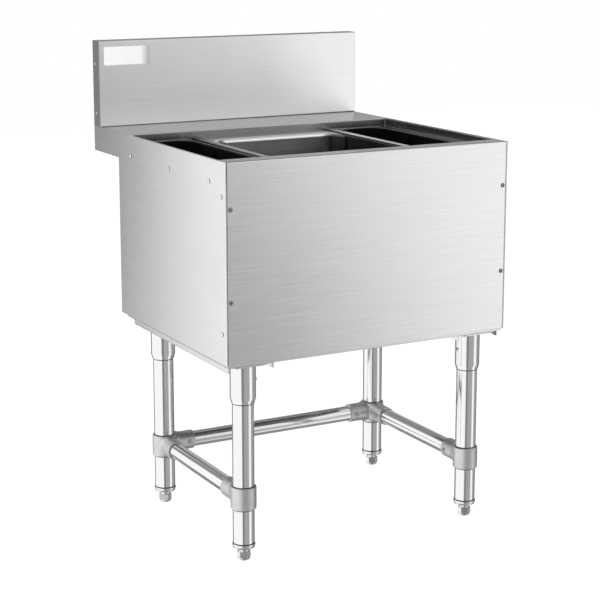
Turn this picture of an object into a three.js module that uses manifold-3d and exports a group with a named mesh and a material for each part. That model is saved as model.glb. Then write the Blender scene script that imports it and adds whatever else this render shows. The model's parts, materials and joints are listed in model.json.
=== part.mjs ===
// Underbar ice bin: an insulated stainless tub between two lift-out bottle wells, in a folded sheet
// cabinet on four adjustable legs. Millimetres; X to the right, Y to the rear, Z up from the floor.
import * as THREE from "three";
import { mergeVertices } from "three/addons/utils/BufferGeometryUtils.js";
import Module from "manifold-3d";

// Cabinet sizes; Y is counted from the face of the front panel
const cabinetWidth = 609.6;
const cabinetDepth = 491; // front face to back panel
const overallDepth = 621; // front face to the wall behind
const rimHeight = 765.5; // floor to the top rim
const cabinetHeight = 372.5; // height of the front and side panels
const earHeight = 51; // side panel where it runs back under the splash
const sheet = 1.5; // wall of every folded panel
const foldRadius = 1; // inside radius of a fold

// Splash, rear deck and the sunk top
const splashRise = 177.5;
const splashThickness = 35;
const splashLip = 20; // folds at the foot and at the wall side
const splashHoleRadius = 3.6;
const splashHoleFromBack = 10.6;
const splashHoleHeights = [26.3, 129]; // above the rim
const frontRim = 40;
const rearRim = 46.5; // back panel to the recess, under the rear deck
const sideRim = 6.8;
const recessDepth = 17.5;
const deckApron = 51; // folds down inside the side panels
const frontApron = 27; // folds down behind the front panel
const recessFold = 1.2; // inside radius where the sunk floor meets its walls
const panelGap = 0.8; // seam beside the front panel

// Folded edges and inner brackets
const sideHem = 24; // doubled front edge of a side panel
const frontHem = 12; // doubled top and bottom edge of the front panel
const bracketWidth = 25;
const bracketDepth = 34;
const bracketFoot = 32.75; // above the panels' lower edge
const bracketHeight = 300;
const backFlange = 25;
const panDrop = 5; // the bottom pan hangs this far under the panels
const panWall = 25;
const panRearSetback = 22; // from the back panel, which turns forward to meet the pan

// Ice tub
const binAbovePan = 55; // room for the sump and the drain
const binFrontMargin = 16; // tub wall behind the recess wall
const rearLedge = 56.5; // shelf between the tub and the rear recess wall
const binCorner = 37; // upright corners
const binCove = 20; // round between walls and floor
const rearRoll = 12; // rolled edge at the rear shelf
const sideRoll = 1.9;
const flangeWidth = 11; // tub wall to the edge of its side flange
const sumpRadius = 50;
const sumpDepth = 12;
const foamThickness = 20;

// Caps over the joints between the tub and the wells
const capWidth = 16.5;
const capHeight = 3;
const capWall = 1.2;
const capShoulder = 1; // inside radius of its two shoulders

// Bottle wells
const wellWidth = 108.4;
const wellDepth = 250;
const wellSideMargin = 19.8; // recess wall to the well
const wellFrontMargin = 8;
const wellRearMargin = 6.5;
const wellBesideCap = 5.4;
const wellCorner = 42;
const wellWall = 2.5;
const wellFlange = 5.3;
const wellDraft = 5; // narrower at the foot on each side
const wellFoot = 8; // round between walls and floor
const wellSeat = 5; // ledge under the flange
const wellPlay = 0.5;
const webWall = 3;
const websPerWell = 2;
const webBelowRim = 3.5;
const webScoop = 21; // sag of the curved upper edge

// Drain
const drainRadius = 16.7;
const drainBore = 13.3;
const drainFlange = 30;
const drainFlangeWall = 2;
const drainTail = 43; // below the bottom pan
const nutWidth = 46; // across flats
const nutHeight = 12;
const strainerHeight = 10;
const strainerWall = 1.2;
const strainerPlay = 1.5;
const strainerHole = 3.2;
const strainerPitch = 14;
const strainerRings = 2;

// Legs and braces
const legInset = 54.6; // leg axis from the cabinet's side
const frontLegSetback = 45.6;
const rearLegSetback = 82.2; // from the back panel
const legRadius = 20.65;
const legWall = 1.6;
const channelWidth = 93;
const channelHeight = 11.4;
const channelSheet = 2;
const channelFrontSetback = 10;
const channelRearSetback = 46.5;
const socketRadius = 24.5;
const socketLength = 78;
const socketTaper = 9;
const socketPlate = 70;
const socketPlateWall = 3;
const socketPlateCorner = 8;
const screwAboveMouth = 41;
const screwNub = 3.2; // radius of a set screw
const nubRise = 4;
const braceHeight = 125.5;
const braceRadius = 16;
const braceWall = 1.5;
const braceFromLeg = 26; // brace end from the leg axis
const collarHeight = 44;
const collarDrop = 1.5; // collar centre below the brace axis
const collarEdge = 1; // eased edges of the castings
const armRadius = 19.3;
const armReach = 62; // arm end from the leg axis
const armScrewFromEnd = 12;

// Feet
const footHeight = 25; // floor to the insert when screwed right in
const footWidth = 22; // across flats
const footBase = 8; // radius that stands on the floor
const footRound = 6;
const footNeckRadius = 9.6;
const footNeckHeight = 7;
const stemRadius = 6;
const stemLength = 50;
const insertCollar = 9;
const insertRadius = 21.9;
const insertRound = 4;
const insertDepth = 28; // shank inside the leg

// Fasteners
const screwHeadRadius = 4.6;
const screwHead = 2.2;
const screwShank = 2.1;
const screwLength = 9;
const screwInset = 10;
const screwFromBracket = [84.25, 45.75]; // from the bracket's lower and upper end
const rivetHeadRadius = 4.4;
const rivetHead = 1.6;
const rivetShank = 2;
const rivetLength = 7;
const rivetBelowRim = 41.5;
const upperRivetSetbacks = [67, 245];
const rearRivetSetback = 62; // from the back panel
const hemRivetSetback = 17.2;
const hemRivetFromBracket = 23.75; // from either end of the bracket

// Clearances
const gap = 0.3; // between pieces that seat without touching
const holePlay = 0.3; // round a shank in its hole
const boreGap = 0.35; // tube in its socket
const overrun = 5; // every cut runs this far past its piece

// Counts of facets and steps
const tubeSides = 18;
const braceSides = 16;
const footSides = 12;
const smallSides = 8;
const strainerSides = 6;
const foldSteps = 2;
const hiddenSteps = 1; // folds and corners that nothing shows
const cornerSteps = 5;
const coveSteps = 4;
const scoopSteps = 10;

const wasm = await Module();
wasm.setup();

// Places that several pieces share
const halfWidth = cabinetWidth / 2;
const panelBottom = rimHeight - cabinetHeight;
const insideSide = halfWidth - sheet;
const insideHem = halfWidth - 2 * sheet;
const frontBack = 2 * sheet; // rear of the front panel's hems
const recess = {
  x: halfWidth - sideRim,
  front: frontRim,
  rear: cabinetDepth - rearRim,
};
const floorTop = rimHeight - recessDepth;
const panBottom = panelBottom - panDrop;
const well = {
  inner: recess.x - wellSideMargin - wellWidth,
  outer: recess.x - wellSideMargin,
  front: recess.front + wellFrontMargin,
  rear: recess.rear - wellRearMargin,
};
const capOuter = well.inner - wellBesideCap;
const capInner = capOuter - capWidth;
const bin = {
  x: capInner - sideRoll,
  front: recess.front + binFrontMargin,
  rear: recess.rear - rearLedge,
  bottom: panBottom + binAbovePan,
};
const binMiddle = (bin.front + bin.rear) / 2;
const jointX = bin.x + flangeWidth;
const webUnder = panBottom - channelSheet; // underside of a leg channel's web
const socketMouth = webUnder - socketLength;
const sumpFloor = bin.bottom - sumpDepth;
const legX = halfWidth - legInset;
const legY = { front: frontLegSetback, rear: cabinetDepth - rearLegSetback };
const collarMiddle = braceHeight - collarDrop;
const insertTop = footHeight + insertCollar;
const panRound = foldRadius + sheet; // outside radius of a fold
const halfTurn = Math.PI;
const quarterTurn = Math.PI / 2;

// A closed geometry as a solid that can be cut and joined
function solid(geometry) {
  const bare = geometry.clone();
  bare.deleteAttribute("normal");
  bare.deleteAttribute("uv");
  const merged = mergeVertices(bare);
  return new wasm.Manifold(
    new wasm.Mesh({
      numProp: 3,
      vertProperties: merged.getAttribute("position").array,
      triVerts: new Uint32Array(merged.getIndex().array),
    }),
  );
}

// A solid as a flat-shaded geometry
function geometryOf(body) {
  const { vertProperties, triVerts } = body.getMesh();
  const geometry = new THREE.BufferGeometry();
  geometry.setAttribute("position", new THREE.BufferAttribute(vertProperties, 3));
  geometry.setIndex(new THREE.BufferAttribute(triVerts, 1));
  const flat = geometry.toNonIndexed();
  flat.computeVertexNormals();
  return flat;
}

const joined = (bodies) => bodies.reduce((sum, body) => sum.add(body));
const cut = (body, tools) => tools.reduce((rest, tool) => rest.subtract(tool), body);

// A box between two limits along each axis
function block([x0, x1], [y0, y1], [z0, z1]) {
  const box = new THREE.BoxGeometry(x1 - x0, y1 - y0, z1 - z0);
  box.translate((x0 + x1) / 2, (y0 + y1) / 2, (z0 + z1) / 2);
  return solid(box);
}

// Points of an arc round (a, b), both ends included
function arc(a, b, radius, from, to, steps) {
  return Array.from({ length: steps + 1 }, (_, i) => {
    const angle = from + ((to - from) * i) / steps;
    return [a + radius * Math.cos(angle), b + radius * Math.sin(angle)];
  });
}

function shapeOf(points, holes = []) {
  const shape = new THREE.Shape(points.map(([a, b]) => new THREE.Vector2(a, b)));
  shape.holes = holes.map((hole) => new THREE.Path(hole.map(([a, b]) => new THREE.Vector2(a, b))));
  return shape;
}

// A section pushed along one axis: X takes (y, z) sections, Y takes (x, z) and Z takes (x, y)
function push(shape, axis, from, to) {
  const prism = new THREE.ExtrudeGeometry(shape, {
    depth: to - from,
    bevelEnabled: false,
    steps: 1,
  });
  if (axis === "x") {
    prism.rotateX(quarterTurn).rotateZ(quarterTurn).translate(from, 0, 0);
  } else if (axis === "y") {
    prism.rotateX(quarterTurn).translate(0, to, 0);
  } else {
    prism.translate(0, 0, from);
  }
  return solid(prism);
}

// The closed section of a sheet that follows a centre line; a point may give the inside fold radius
function fold(path, wall, steps = foldSteps) {
  const line = [];
  path.forEach(([a, b, radius], i) => {
    const here = new THREE.Vector2(a, b);
    const before = path[i - 1] && here.clone().sub(new THREE.Vector2(...path[i - 1])).normalize();
    const after = path[i + 1] && new THREE.Vector2(...path[i + 1]).sub(here).normalize();
    const left = (d) => new THREE.Vector2(-d.y, d.x);
    if (!before || !after) {
      line.push([here, left(before || after)]);
      return;
    }
    const turn = Math.sign(before.cross(after));
    const bend = radius + wall / 2;
    const angle = Math.acos(before.dot(after));
    const start = here.clone().addScaledVector(before, -bend * Math.tan(angle / 2));
    const centre = start.clone().addScaledVector(left(before), turn * bend);
    for (let step = 0; step <= steps; step++) {
      const turned = (turn * angle * step) / steps;
      const normal = left(before).rotateAround(new THREE.Vector2(), turned);
      line.push([centre.clone().addScaledVector(normal, -turn * bend), normal]);
    }
  });
  const side = (offset) =>
    line.map(([point, normal]) => point.clone().addScaledVector(normal, offset).toArray());
  return [...side(-wall / 2), ...side(wall / 2).reverse()];
}

// A revolved profile of [radius, height] points about the Z axis
function revolve(profile, sides) {
  const points = profile.map(([radius, height]) => new THREE.Vector2(radius, height));
  return solid(new THREE.LatheGeometry(points, sides).rotateX(quarterTurn));
}

function rod(radius, bottom, top, sides) {
  return revolve([[0, bottom], [radius, bottom], [radius, top], [0, top]], sides);
}

function pipe(radius, wall, bottom, top, sides) {
  const bore = radius - wall;
  const profile = [[bore, bottom], [radius, bottom], [radius, top], [bore, top], [bore, bottom]];
  return revolve(profile, sides);
}

// A rod along X or Y between two places on that axis
function crossRod(radius, axis, from, to, [a, z], sides) {
  const body = rod(radius, from, to, sides);
  return axis === "x"
    ? body.rotate([0, 90, 0]).translate([0, a, z])
    : body.rotate([-90, 0, 0]).translate([a, 0, z]);
}

function hexagon(acrossFlats) {
  return arc(0, 0, acrossFlats / Math.sqrt(3), 0, (5 * halfTurn) / 3, 5);
}

// Loops of one rounded rectangle; spread moves its sides outwards by [x, front, rear]
function loop(area, corner, z, spread = [0, 0, 0], steps = cornerSteps) {
  const radius = Math.max(corner, foldRadius / 10);
  const x0 = area.x0 - spread[0];
  const x1 = area.x1 + spread[0];
  const y0 = area.y0 - spread[1];
  const y1 = area.y1 + spread[2];
  const corners = [
    [x1 - radius, y0 + radius, -quarterTurn],
    [x1 - radius, y1 - radius, 0],
    [x0 + radius, y1 - radius, quarterTurn],
    [x0 + radius, y0 + radius, halfTurn],
  ];
  return corners.flatMap(([x, y, from]) =>
    arc(x, y, radius, from, from + quarterTurn, steps).map(([a, b]) => [a, b, z]),
  );
}

const evenly = (distance) => [distance, distance, distance];

// A skin through loops; the ends are capped, or the last loop is closed onto the first
function loft(loops, closed = false) {
  const count = loops[0].length;
  const points = loops.flat();
  const faces = [];
  const joints = closed ? loops.length : loops.length - 1;
  for (let level = 0; level < joints; level++) {
    const low = level * count;
    const high = ((level + 1) % loops.length) * count;
    for (let i = 0; i < count; i++) {
      const next = (i + 1) % count;
      faces.push(low + i, low + next, high + next, low + i, high + next, high + i);
    }
  }
  if (!closed) {
    const last = (loops.length - 1) * count;
    for (let i = 1; i < count - 1; i++) {
      faces.push(0, i + 1, i, last, last + i, last + i + 1);
    }
  }
  const geometry = new THREE.BufferGeometry();
  geometry.setAttribute("position", new THREE.Float32BufferAttribute(points.flat(), 3));
  geometry.setIndex(faces);
  return solid(geometry);
}

// A folded section of [inset, z] points carried round a rectangular opening
function ring(section, area, corner, steps) {
  const turned = THREE.ShapeUtils.area(section.map(([a, b]) => new THREE.Vector2(a, b)));
  const points = turned > 0 ? section.slice().reverse() : section;
  const loops = points.map(([inset, z]) => loop(area, corner - inset, z, evenly(-inset), steps));
  return loft(loops, true);
}

const steel = new THREE.MeshStandardMaterial({ color: 0xc4c5c6, roughness: 0.34, metalness: 1 });
const polished = new THREE.MeshStandardMaterial({ color: 0xcfd0d1, roughness: 0.2, metalness: 1 });
const casting = new THREE.MeshStandardMaterial({ color: 0xa8a9aa, roughness: 0.5, metalness: 1 });
const zinc = new THREE.MeshStandardMaterial({ color: 0xb8b9bb, roughness: 0.3, metalness: 1 });
const blackPlastic = new THREE.MeshStandardMaterial({ color: 0x17181a, roughness: 0.45 });
const foam = new THREE.MeshStandardMaterial({ color: 0xe8dfc4, roughness: 0.95 });

const bench = new THREE.Group(); // the frame of the sizes above
function add(name, body, material) {
  const piece = new THREE.Mesh(geometryOf(body), material);
  piece.name = name;
  bench.add(piece);
}

const sides = [
  { name: "left", sign: -1 },
  { name: "right", sign: 1 },
];
const ends = ["front", "rear"];
const span = (sign, a, b) => (sign > 0 ? [a, b] : [-b, -a]);
const mirrored = (points, sign) => (sign > 0 ? points : points.map(([a, b]) => [-a, b]));

// Front panel: one sheet with a doubled, rounded edge at the top and at the bottom
const seam = insideHem - panelGap;
const panelTop = rimHeight - gap;
const frontSection = [
  ...arc(sheet, panelBottom + sheet, sheet, halfTurn, 2 * halfTurn, 2 * foldSteps),
  [frontBack, panelBottom + frontHem],
  [sheet, panelBottom + frontHem],
  [sheet, panelTop - frontHem],
  [frontBack, panelTop - frontHem],
  ...arc(sheet, panelTop - sheet, sheet, 0, halfTurn, 2 * foldSteps),
];
const screwX = halfWidth - screwInset;
const bracketEnds = { lower: panelBottom + bracketFoot, upper: panelBottom + bracketFoot + bracketHeight };
const screwHeights = {
  lower: bracketEnds.lower + screwFromBracket[0],
  upper: bracketEnds.upper - screwFromBracket[1],
};
const screwPlaces = sides.flatMap(({ name, sign }) =>
  Object.entries(screwHeights).map(([level, z]) => ({
    name: `${level}_${name}`,
    x: sign * screwX,
    z,
  })),
);
const screwHoles = screwPlaces.map(({ x, z }) =>
  crossRod(screwShank + holePlay, "y", -overrun, bracketDepth / 2, [x, z], smallSides),
);
add("front_panel", cut(push(shapeOf(frontSection), "x", -seam, seam), screwHoles), steel);

// Rivets through the side panels: along the deck's apron, and through hem and bracket at the front
const rivetPlaces = [
  ...[...upperRivetSetbacks, cabinetDepth - rearRivetSetback].map((y, i) => ({
    name: `upper_${["front", "middle", "rear"][i]}`,
    y,
    z: rimHeight - rivetBelowRim,
  })),
  {
    name: "edge_lower",
    y: hemRivetSetback,
    z: bracketEnds.lower + hemRivetFromBracket,
  },
  {
    name: "edge_upper",
    y: hemRivetSetback,
    z: bracketEnds.upper - hemRivetFromBracket,
  },
];
const rivetHoles = (sign) =>
  rivetPlaces.map(({ y, z }) => {
    const [from, to] = span(sign, halfWidth - rivetLength - overrun, halfWidth + overrun);
    return crossRod(rivetShank + holePlay, "x", from, to, [y, z], smallSides);
  });

// Side panels: doubled front edge, and an ear that runs back under the splash
for (const { name, sign } of sides) {
  const section = [
    ...arc(insideSide, sheet, sheet, halfTurn, 2 * halfTurn, 2 * foldSteps),
    [halfWidth, cabinetDepth],
    [insideSide, cabinetDepth],
    [insideSide, sideHem],
    [insideHem, sideHem],
  ];
  const wall = push(shapeOf(mirrored(section, sign)), "z", panelBottom, rimHeight);
  const ear = block(
    span(sign, insideSide, halfWidth),
    [cabinetDepth - sheet, overallDepth],
    [rimHeight - earHeight, rimHeight],
  );
  add(`${name}_side_panel`, cut(wall.add(ear), rivetHoles(sign)), steel);
}

// Angle brackets inside the front corners take the panel's screws
for (const { name, sign } of sides) {
  const section = fold(
    [
      [insideHem - bracketWidth, sheet * 1.5],
      [insideHem - sheet / 2, sheet * 1.5, foldRadius],
      [insideHem - sheet / 2, bracketDepth],
    ],
    sheet,
  );
  const angle = push(
    shapeOf(mirrored(section, sign)),
    "z",
    bracketEnds.lower,
    bracketEnds.upper,
  );
  add(`${name}_front_bracket`, cut(angle, [...rivetHoles(sign), ...screwHoles]), steel);
}

// Back panel: flanges turned forward at the sides and the foot, cut away at the top for the deck
const apronFoot = rimHeight - deckApron;
const backMiddle = cabinetDepth - sheet / 2;
const backSection = fold(
  [
    [-insideSide + sheet / 2, cabinetDepth - backFlange],
    [-insideSide + sheet / 2, backMiddle, foldRadius],
    [insideSide - sheet / 2, backMiddle, foldRadius],
    [insideSide - sheet / 2, cabinetDepth - backFlange],
  ],
  sheet,
);
const footMiddle = panelBottom + sheet / 2;
const panRear = cabinetDepth - panRearSetback;
const footSection = fold(
  [
    [panRear + gap, footMiddle],
    [backMiddle, footMiddle, foldRadius],
    [backMiddle, panelBottom + backFlange],
  ],
  sheet,
);
const backFoot = push(shapeOf(footSection), "x", -insideHem + gap, insideHem - gap);
const backTop = block(
  [-insideHem + sheet, insideHem - sheet],
  [cabinetDepth - sheet, cabinetDepth],
  [apronFoot - frontHem, rimHeight - sheet - gap],
);
const backBody = push(shapeOf(backSection), "z", footMiddle + panRound, apronFoot - gap);
add("back_panel", joined([backBody, backFoot, backTop]), steel);

// Bottom pan: a shallow tray of one sheet, with the drain's hole
const panArea = {
  x0: -insideHem,
  x1: insideHem,
  y0: frontBack + gap,
  y1: panRear,
};
const panTop = panBottom + panWall;
const panLoop = ([inset, z]) => loop(panArea, panRound - inset, z, evenly(-inset), foldSteps);
const panBend = (radius, from, to) =>
  arc(panRound, panBottom + panRound, radius, from, to, foldSteps).map(panLoop);
const panLoops = [
  ...panBend(panRound, -quarterTurn, -halfTurn),
  panLoop([0, panTop]),
  panLoop([sheet, panTop]),
  ...panBend(foldRadius, -halfTurn, -quarterTurn),
];
const drainHole = (radius, bottom, top) =>
  rod(radius, bottom, top, tubeSides).translate([0, binMiddle, 0]);
const panHole = drainHole(drainRadius + 2 * gap, panBottom - overrun, panTop);
add("bottom_panel", loft(panLoops).subtract(panHole), steel);

// Top deck: rims, the sunk floor with a seat round each well, and aprons inside the cabinet
const deckMiddle = rimHeight - sheet / 2;
const floorMiddle = floorTop - sheet / 2;
const recessArea = { x0: -recess.x, x1: recess.x, y0: recess.front, y1: recess.rear };
const deckFront = frontBack + gap; // front of the apron behind the front panel
const deckLap = 2 * sheet; // lap between the pieces that make up the deck
const rectangle = (x0, x1, y0, y1) => [[x0, y0], [x1, y0], [x1, y1], [x0, y1]];
const insideFront = insideHem - gap;
const deckOutline = [
  [-insideFront, deckFront + deckLap],
  [insideFront, deckFront + deckLap],
  [insideFront, sideHem + gap],
  [insideSide, sideHem + gap],
  [insideSide, overallDepth],
  [-insideSide, overallDepth],
  [-insideSide, sideHem + gap],
  [-insideFront, sideHem + gap],
];
const recessEdge = rectangle(
  -recess.x - deckLap,
  recess.x + deckLap,
  recess.front - deckLap,
  recess.rear + deckLap,
);
const topPlate = push(shapeOf(deckOutline, [recessEdge]), "z", rimHeight - sheet, rimHeight);
const recessWalls = ring(
  fold(
    [
      [-deckLap - sheet / 2, deckMiddle],
      [-sheet / 2, deckMiddle, foldRadius / 2],
      [-sheet / 2, floorMiddle, recessFold],
      [2 * deckLap, floorMiddle],
    ],
    sheet,
  ),
  recessArea,
  foldRadius,
  foldSteps,
);
const sunkFloor = block(
  [-recess.x + deckLap, recess.x - deckLap],
  [recess.front + deckLap, recess.rear - deckLap],
  [floorTop - sheet, floorTop],
);
const wellAreas = sides.map(({ name, sign }) => {
  const [x0, x1] = span(sign, well.inner, well.outer);
  return { name, area: { x0, x1, y0: well.front, y1: well.rear } };
});
const wellSeats = wellAreas.map(({ area }) => {
  const seatMiddle = floorMiddle - wellWall;
  const section = fold(
    [
      [-wellPlay - deckLap, floorMiddle],
      [-wellPlay - sheet / 2, floorMiddle, foldRadius / 2],
      [-wellPlay - sheet / 2, seatMiddle, foldRadius / 2],
      [wellSeat - wellPlay, seatMiddle],
    ],
    sheet,
    hiddenSteps,
  );
  return ring(section, area, wellCorner);
});
const wellOpenings = wellAreas.map(({ area }) => {
  const spread = evenly(wellPlay + sheet + foldRadius / 2);
  return loft([
    loop(area, wellCorner + spread[0], floorTop - overrun, spread),
    loop(area, wellCorner + spread[0], floorTop + overrun, spread),
  ]);
});
const binOpening = block(
  [-jointX - gap, jointX + gap],
  [recess.front, recess.rear],
  [floorTop - overrun, floorTop + recessFold + sheet],
);
const frontFold = push(
  shapeOf(
    fold(
      [
        [deckFront + sheet / 2, rimHeight - frontApron],
        [deckFront + sheet / 2, deckMiddle, foldRadius],
        [deckFront + 3 * deckLap, deckMiddle],
      ],
      sheet,
    ),
  ),
  "x",
  -insideFront,
  insideFront,
);
const sideAprons = sides.map(({ sign }) =>
  block(
    span(sign, insideHem, insideSide),
    [sideHem + gap, cabinetDepth],
    [apronFoot + gap, rimHeight - sheet / 2],
  ),
);
const floorWithWells = cut(joined([sunkFloor, recessWalls]), wellOpenings);
const deckBody = cut(
  joined([topPlate, floorWithWells, ...wellSeats, frontFold, ...sideAprons]),
  [binOpening, ...sides.flatMap(({ sign }) => rivetHoles(sign))],
);
add("top_deck", deckBody, steel);

// Rear apron: a folded strip under the deck's overhang, between the ears and across the wall side
const apronSide = insideSide - sheet / 2;
const apronBack = overallDepth - sheet / 2;
const apronSection = fold(
  [
    [-apronSide, cabinetDepth + gap],
    [-apronSide, apronBack, foldRadius],
    [apronSide, apronBack, foldRadius],
    [apronSide, cabinetDepth + gap],
  ],
  sheet,
);
const rearApron = push(shapeOf(apronSection), "z", apronFoot + gap, rimHeight - sheet - gap);
add("rear_apron", rearApron, steel);

// Splash: a folded face with a return at the top, open behind, and a plate with two holes at each end
const splashTop = rimHeight + splashRise;
const splashFace = overallDepth - splashThickness;
const splashSection = fold(
  [
    [splashFace + splashLip, rimHeight + sheet / 2],
    [splashFace + sheet / 2, rimHeight + sheet / 2, foldRadius],
    [splashFace + sheet / 2, splashTop - sheet / 2, foldRadius],
    [overallDepth - sheet / 2, splashTop - sheet / 2, foldRadius],
    [overallDepth - sheet / 2, splashTop - splashLip],
  ],
  sheet,
);
const endPlate = [
  [splashFace, rimHeight],
  [overallDepth, rimHeight],
  ...arc(overallDepth - panRound, splashTop - panRound, panRound, 0, quarterTurn, foldSteps),
  ...arc(splashFace + panRound, splashTop - panRound, panRound, quarterTurn, halfTurn, foldSteps),
];
const endPlates = sides.map(({ sign }) => {
  const [from, to] = span(sign, insideSide, halfWidth);
  const holes = splashHoleHeights.map((height) =>
    crossRod(
      splashHoleRadius,
      "x",
      from - overrun,
      to + overrun,
      [overallDepth - splashHoleFromBack, rimHeight + height],
      smallSides,
    ),
  );
  return cut(push(shapeOf(endPlate), "x", from, to), holes);
});
const splashBody = push(shapeOf(splashSection), "x", -insideSide, insideSide);
add("backsplash", joined([splashBody, ...endPlates]), steel);

// Ice tub: walls with coved corners, rolled edges, and a flange that fills the middle of the deck
const binArea = { x0: -bin.x, x1: bin.x, y0: bin.front, y1: bin.rear };
const flangeArea = {
  x0: -jointX,
  x1: jointX,
  y0: recess.front + gap,
  y1: recess.rear - gap,
};
function binRoll(inner) {
  const rearInside = inner ? rearRoll : rearRoll - sheet;
  const sideInside = inner ? sideRoll : sideRoll - sheet;
  return arc(0, 0, 1, 0, quarterTurn, coveSteps).map(([across, up]) => {
    const side = sideRoll - sideInside * across;
    const rear = rearRoll - rearInside * across;
    const z = floorTop - rearRoll + rearInside * up;
    return loop(binArea, binCorner + side, z, [side, side, rear]);
  });
}
function binShell(offset, corner, bottom) {
  return arc(0, 0, 1, -quarterTurn, 0, coveSteps).map(([across, up]) => {
    const inset = (binCove + offset) * (1 - across) - offset;
    const z = bottom + (binCove + offset) * (1 + up);
    return loop(binArea, corner - inset, z, evenly(-inset));
  });
}
const flangeCorner = foldRadius;
const binLoops = [
  ...binShell(sheet, binCorner, bin.bottom - sheet),
  ...binRoll(false),
  loop(flangeArea, flangeCorner, floorTop - sheet),
  loop(flangeArea, flangeCorner, floorTop),
  ...binRoll(true).reverse(),
  ...binShell(0, binCorner, bin.bottom).reverse(),
];
const sumpCup = drainHole(sumpRadius + sheet, sumpFloor - sheet, bin.bottom - sheet / 2);
const sumpCut = drainHole(sumpRadius, sumpFloor, bin.bottom + overrun);
const sumpHole = drainHole(drainRadius + gap, sumpFloor - overrun, bin.bottom);
add("ice_liner", cut(loft(binLoops).add(sumpCup), [sumpCut, sumpHole]), steel);

// Foam jacket under and round the tub
const jacketRoom = sheet + gap;
const foamTop = floorTop - rearRoll - gap;
const foamLoops = [
  loop(binArea, binCorner, panBottom + sheet, evenly(jacketRoom + foamThickness)),
  loop(binArea, binCorner, foamTop, evenly(jacketRoom + foamThickness)),
  loop(binArea, binCorner + jacketRoom, foamTop, evenly(jacketRoom)),
  ...binShell(jacketRoom, binCorner, bin.bottom - jacketRoom).reverse(),
];
const foamCuts = [
  drainHole(sumpRadius + jacketRoom, sumpFloor - jacketRoom, bin.bottom),
  drainHole(drainRadius + 2 * sheet, panBottom - overrun, bin.bottom),
];
add("insulation_jacket", cut(loft(foamLoops), foamCuts), foam);

// Caps: an inverted channel over each joint, seated on the tub's flange and on the deck
for (const { name, sign } of sides) {
  const [x0, x1] = span(sign, capInner + capWall / 2, capOuter - capWall / 2);
  const top = floorTop + capHeight - capWall / 2;
  const section = fold(
    [
      [x0, floorTop],
      [x0, top, capShoulder],
      [x1, top, capShoulder],
      [x1, floorTop],
    ],
    capWall,
  );
  const endGap = recessFold + gap;
  const cap = push(shapeOf(section), "y", recess.front + endGap, recess.rear - endGap);
  add(`${name}_partition_cap`, cap, steel);
}

// Bottle wells: drafted tubs with a flange in the deck's seat and scooped webs between the bottles
function bottleWell(area) {
  const foot = floorTop - wellDepth;
  const outerTop = wellFlange;
  const outerFoot = wellFlange + wellDraft;
  const skin = (inset, z) => loop(area, wellCorner - inset, z, evenly(-inset));
  const base = (wall) =>
    arc(0, 0, 1, -quarterTurn, 0, foldSteps).map(([across, up]) =>
      skin(outerFoot + wall + wellFoot * (1 - across), foot + wall + wellFoot * (1 + up)),
    );
  const flangeUnder = floorTop - wellWall;
  const ease = wellWall / 3;
  const outside = [...base(0), skin(outerTop, flangeUnder)];
  const tub = loft([
    ...outside,
    skin(0, flangeUnder),
    skin(0, floorTop - ease),
    skin(ease, floorTop),
    skin(outerTop + wellWall - ease, floorTop),
    skin(outerTop + wellWall, floorTop - 2 * ease),
    ...base(wellWall).reverse(),
  ]);
  const filled = loft(outside);
  const middle = (area.x0 + area.x1) / 2;
  const reach = (area.x1 - area.x0) / 2 - wellFlange;
  const webTop = floorTop - webBelowRim;
  const radius = (reach * reach + webScoop * webScoop) / (2 * webScoop);
  const half = Math.asin(reach / radius);
  const scoop = arc(
    middle,
    webTop - webScoop + radius,
    radius,
    half - quarterTurn,
    -half - quarterTurn,
    scoopSteps,
  );
  const webShape = shapeOf([[middle - reach, foot], [middle + reach, foot], ...scoop]);
  const first = area.y0 + wellFlange + wellWall;
  const last = area.y1 - wellFlange - wellWall;
  const webs = Array.from({ length: websPerWell }, (_, i) => {
    const y = first + ((last - first) * (i + 1)) / (websPerWell + 1);
    return push(webShape, "y", y - webWall / 2, y + webWall / 2).intersect(filled);
  });
  return joined([tub, ...webs]);
}
for (const { name, area } of wellAreas) {
  add(`${name}_bottle_well`, bottleWell(area), blackPlastic);
}

// Drain: flanged tail through sump, foam and pan, its nut below, and the strainer that lifts out
const tailEnd = panBottom - drainTail;
const tail = revolve(
  [
    [drainBore, tailEnd],
    [drainRadius, tailEnd],
    [drainRadius, sumpFloor],
    [drainFlange, sumpFloor],
    [drainFlange, sumpFloor + drainFlangeWall],
    [drainBore, sumpFloor + drainFlangeWall],
    [drainBore, tailEnd],
  ],
  tubeSides,
);
add("drain_tail", tail.translate([0, binMiddle, 0]), zinc);
const nutBlank = push(shapeOf(hexagon(nutWidth)), "z", panBottom - nutHeight, panBottom);
const nutBore = rod(drainRadius + gap, panBottom - nutHeight - overrun, panBottom + overrun, tubeSides);
add("drain_nut", nutBlank.subtract(nutBore).translate([0, binMiddle, 0]), zinc);

const strainerRadius = sumpRadius - strainerPlay;
const strainerTop = sumpFloor + strainerHeight;
const strainerEdge = strainerRadius - 2 * strainerWall;
const strainerCup = revolve(
  [
    [0, strainerTop - strainerWall],
    [strainerEdge, strainerTop - strainerWall],
    [strainerRadius - strainerWall, strainerTop - 2 * strainerWall],
    [strainerRadius - strainerWall, sumpFloor],
    [strainerRadius, sumpFloor],
    [strainerRadius, strainerTop - 1.5 * strainerWall],
    [strainerEdge, strainerTop],
    [0, strainerTop],
  ],
  tubeSides,
);
const strainerHoles = [rod(strainerHole, sumpFloor, strainerTop + overrun, strainerSides)];
for (let ringIndex = 1; ringIndex <= strainerRings; ringIndex++) {
  const count = 6 * ringIndex;
  for (let i = 0; i < count; i++) {
    const angle = (2 * halfTurn * i) / count;
    const x = ringIndex * strainerPitch * Math.cos(angle);
    const y = ringIndex * strainerPitch * Math.sin(angle);
    strainerHoles.push(strainerHoles[0].translate([x, y, 0]));
  }
}
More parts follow.
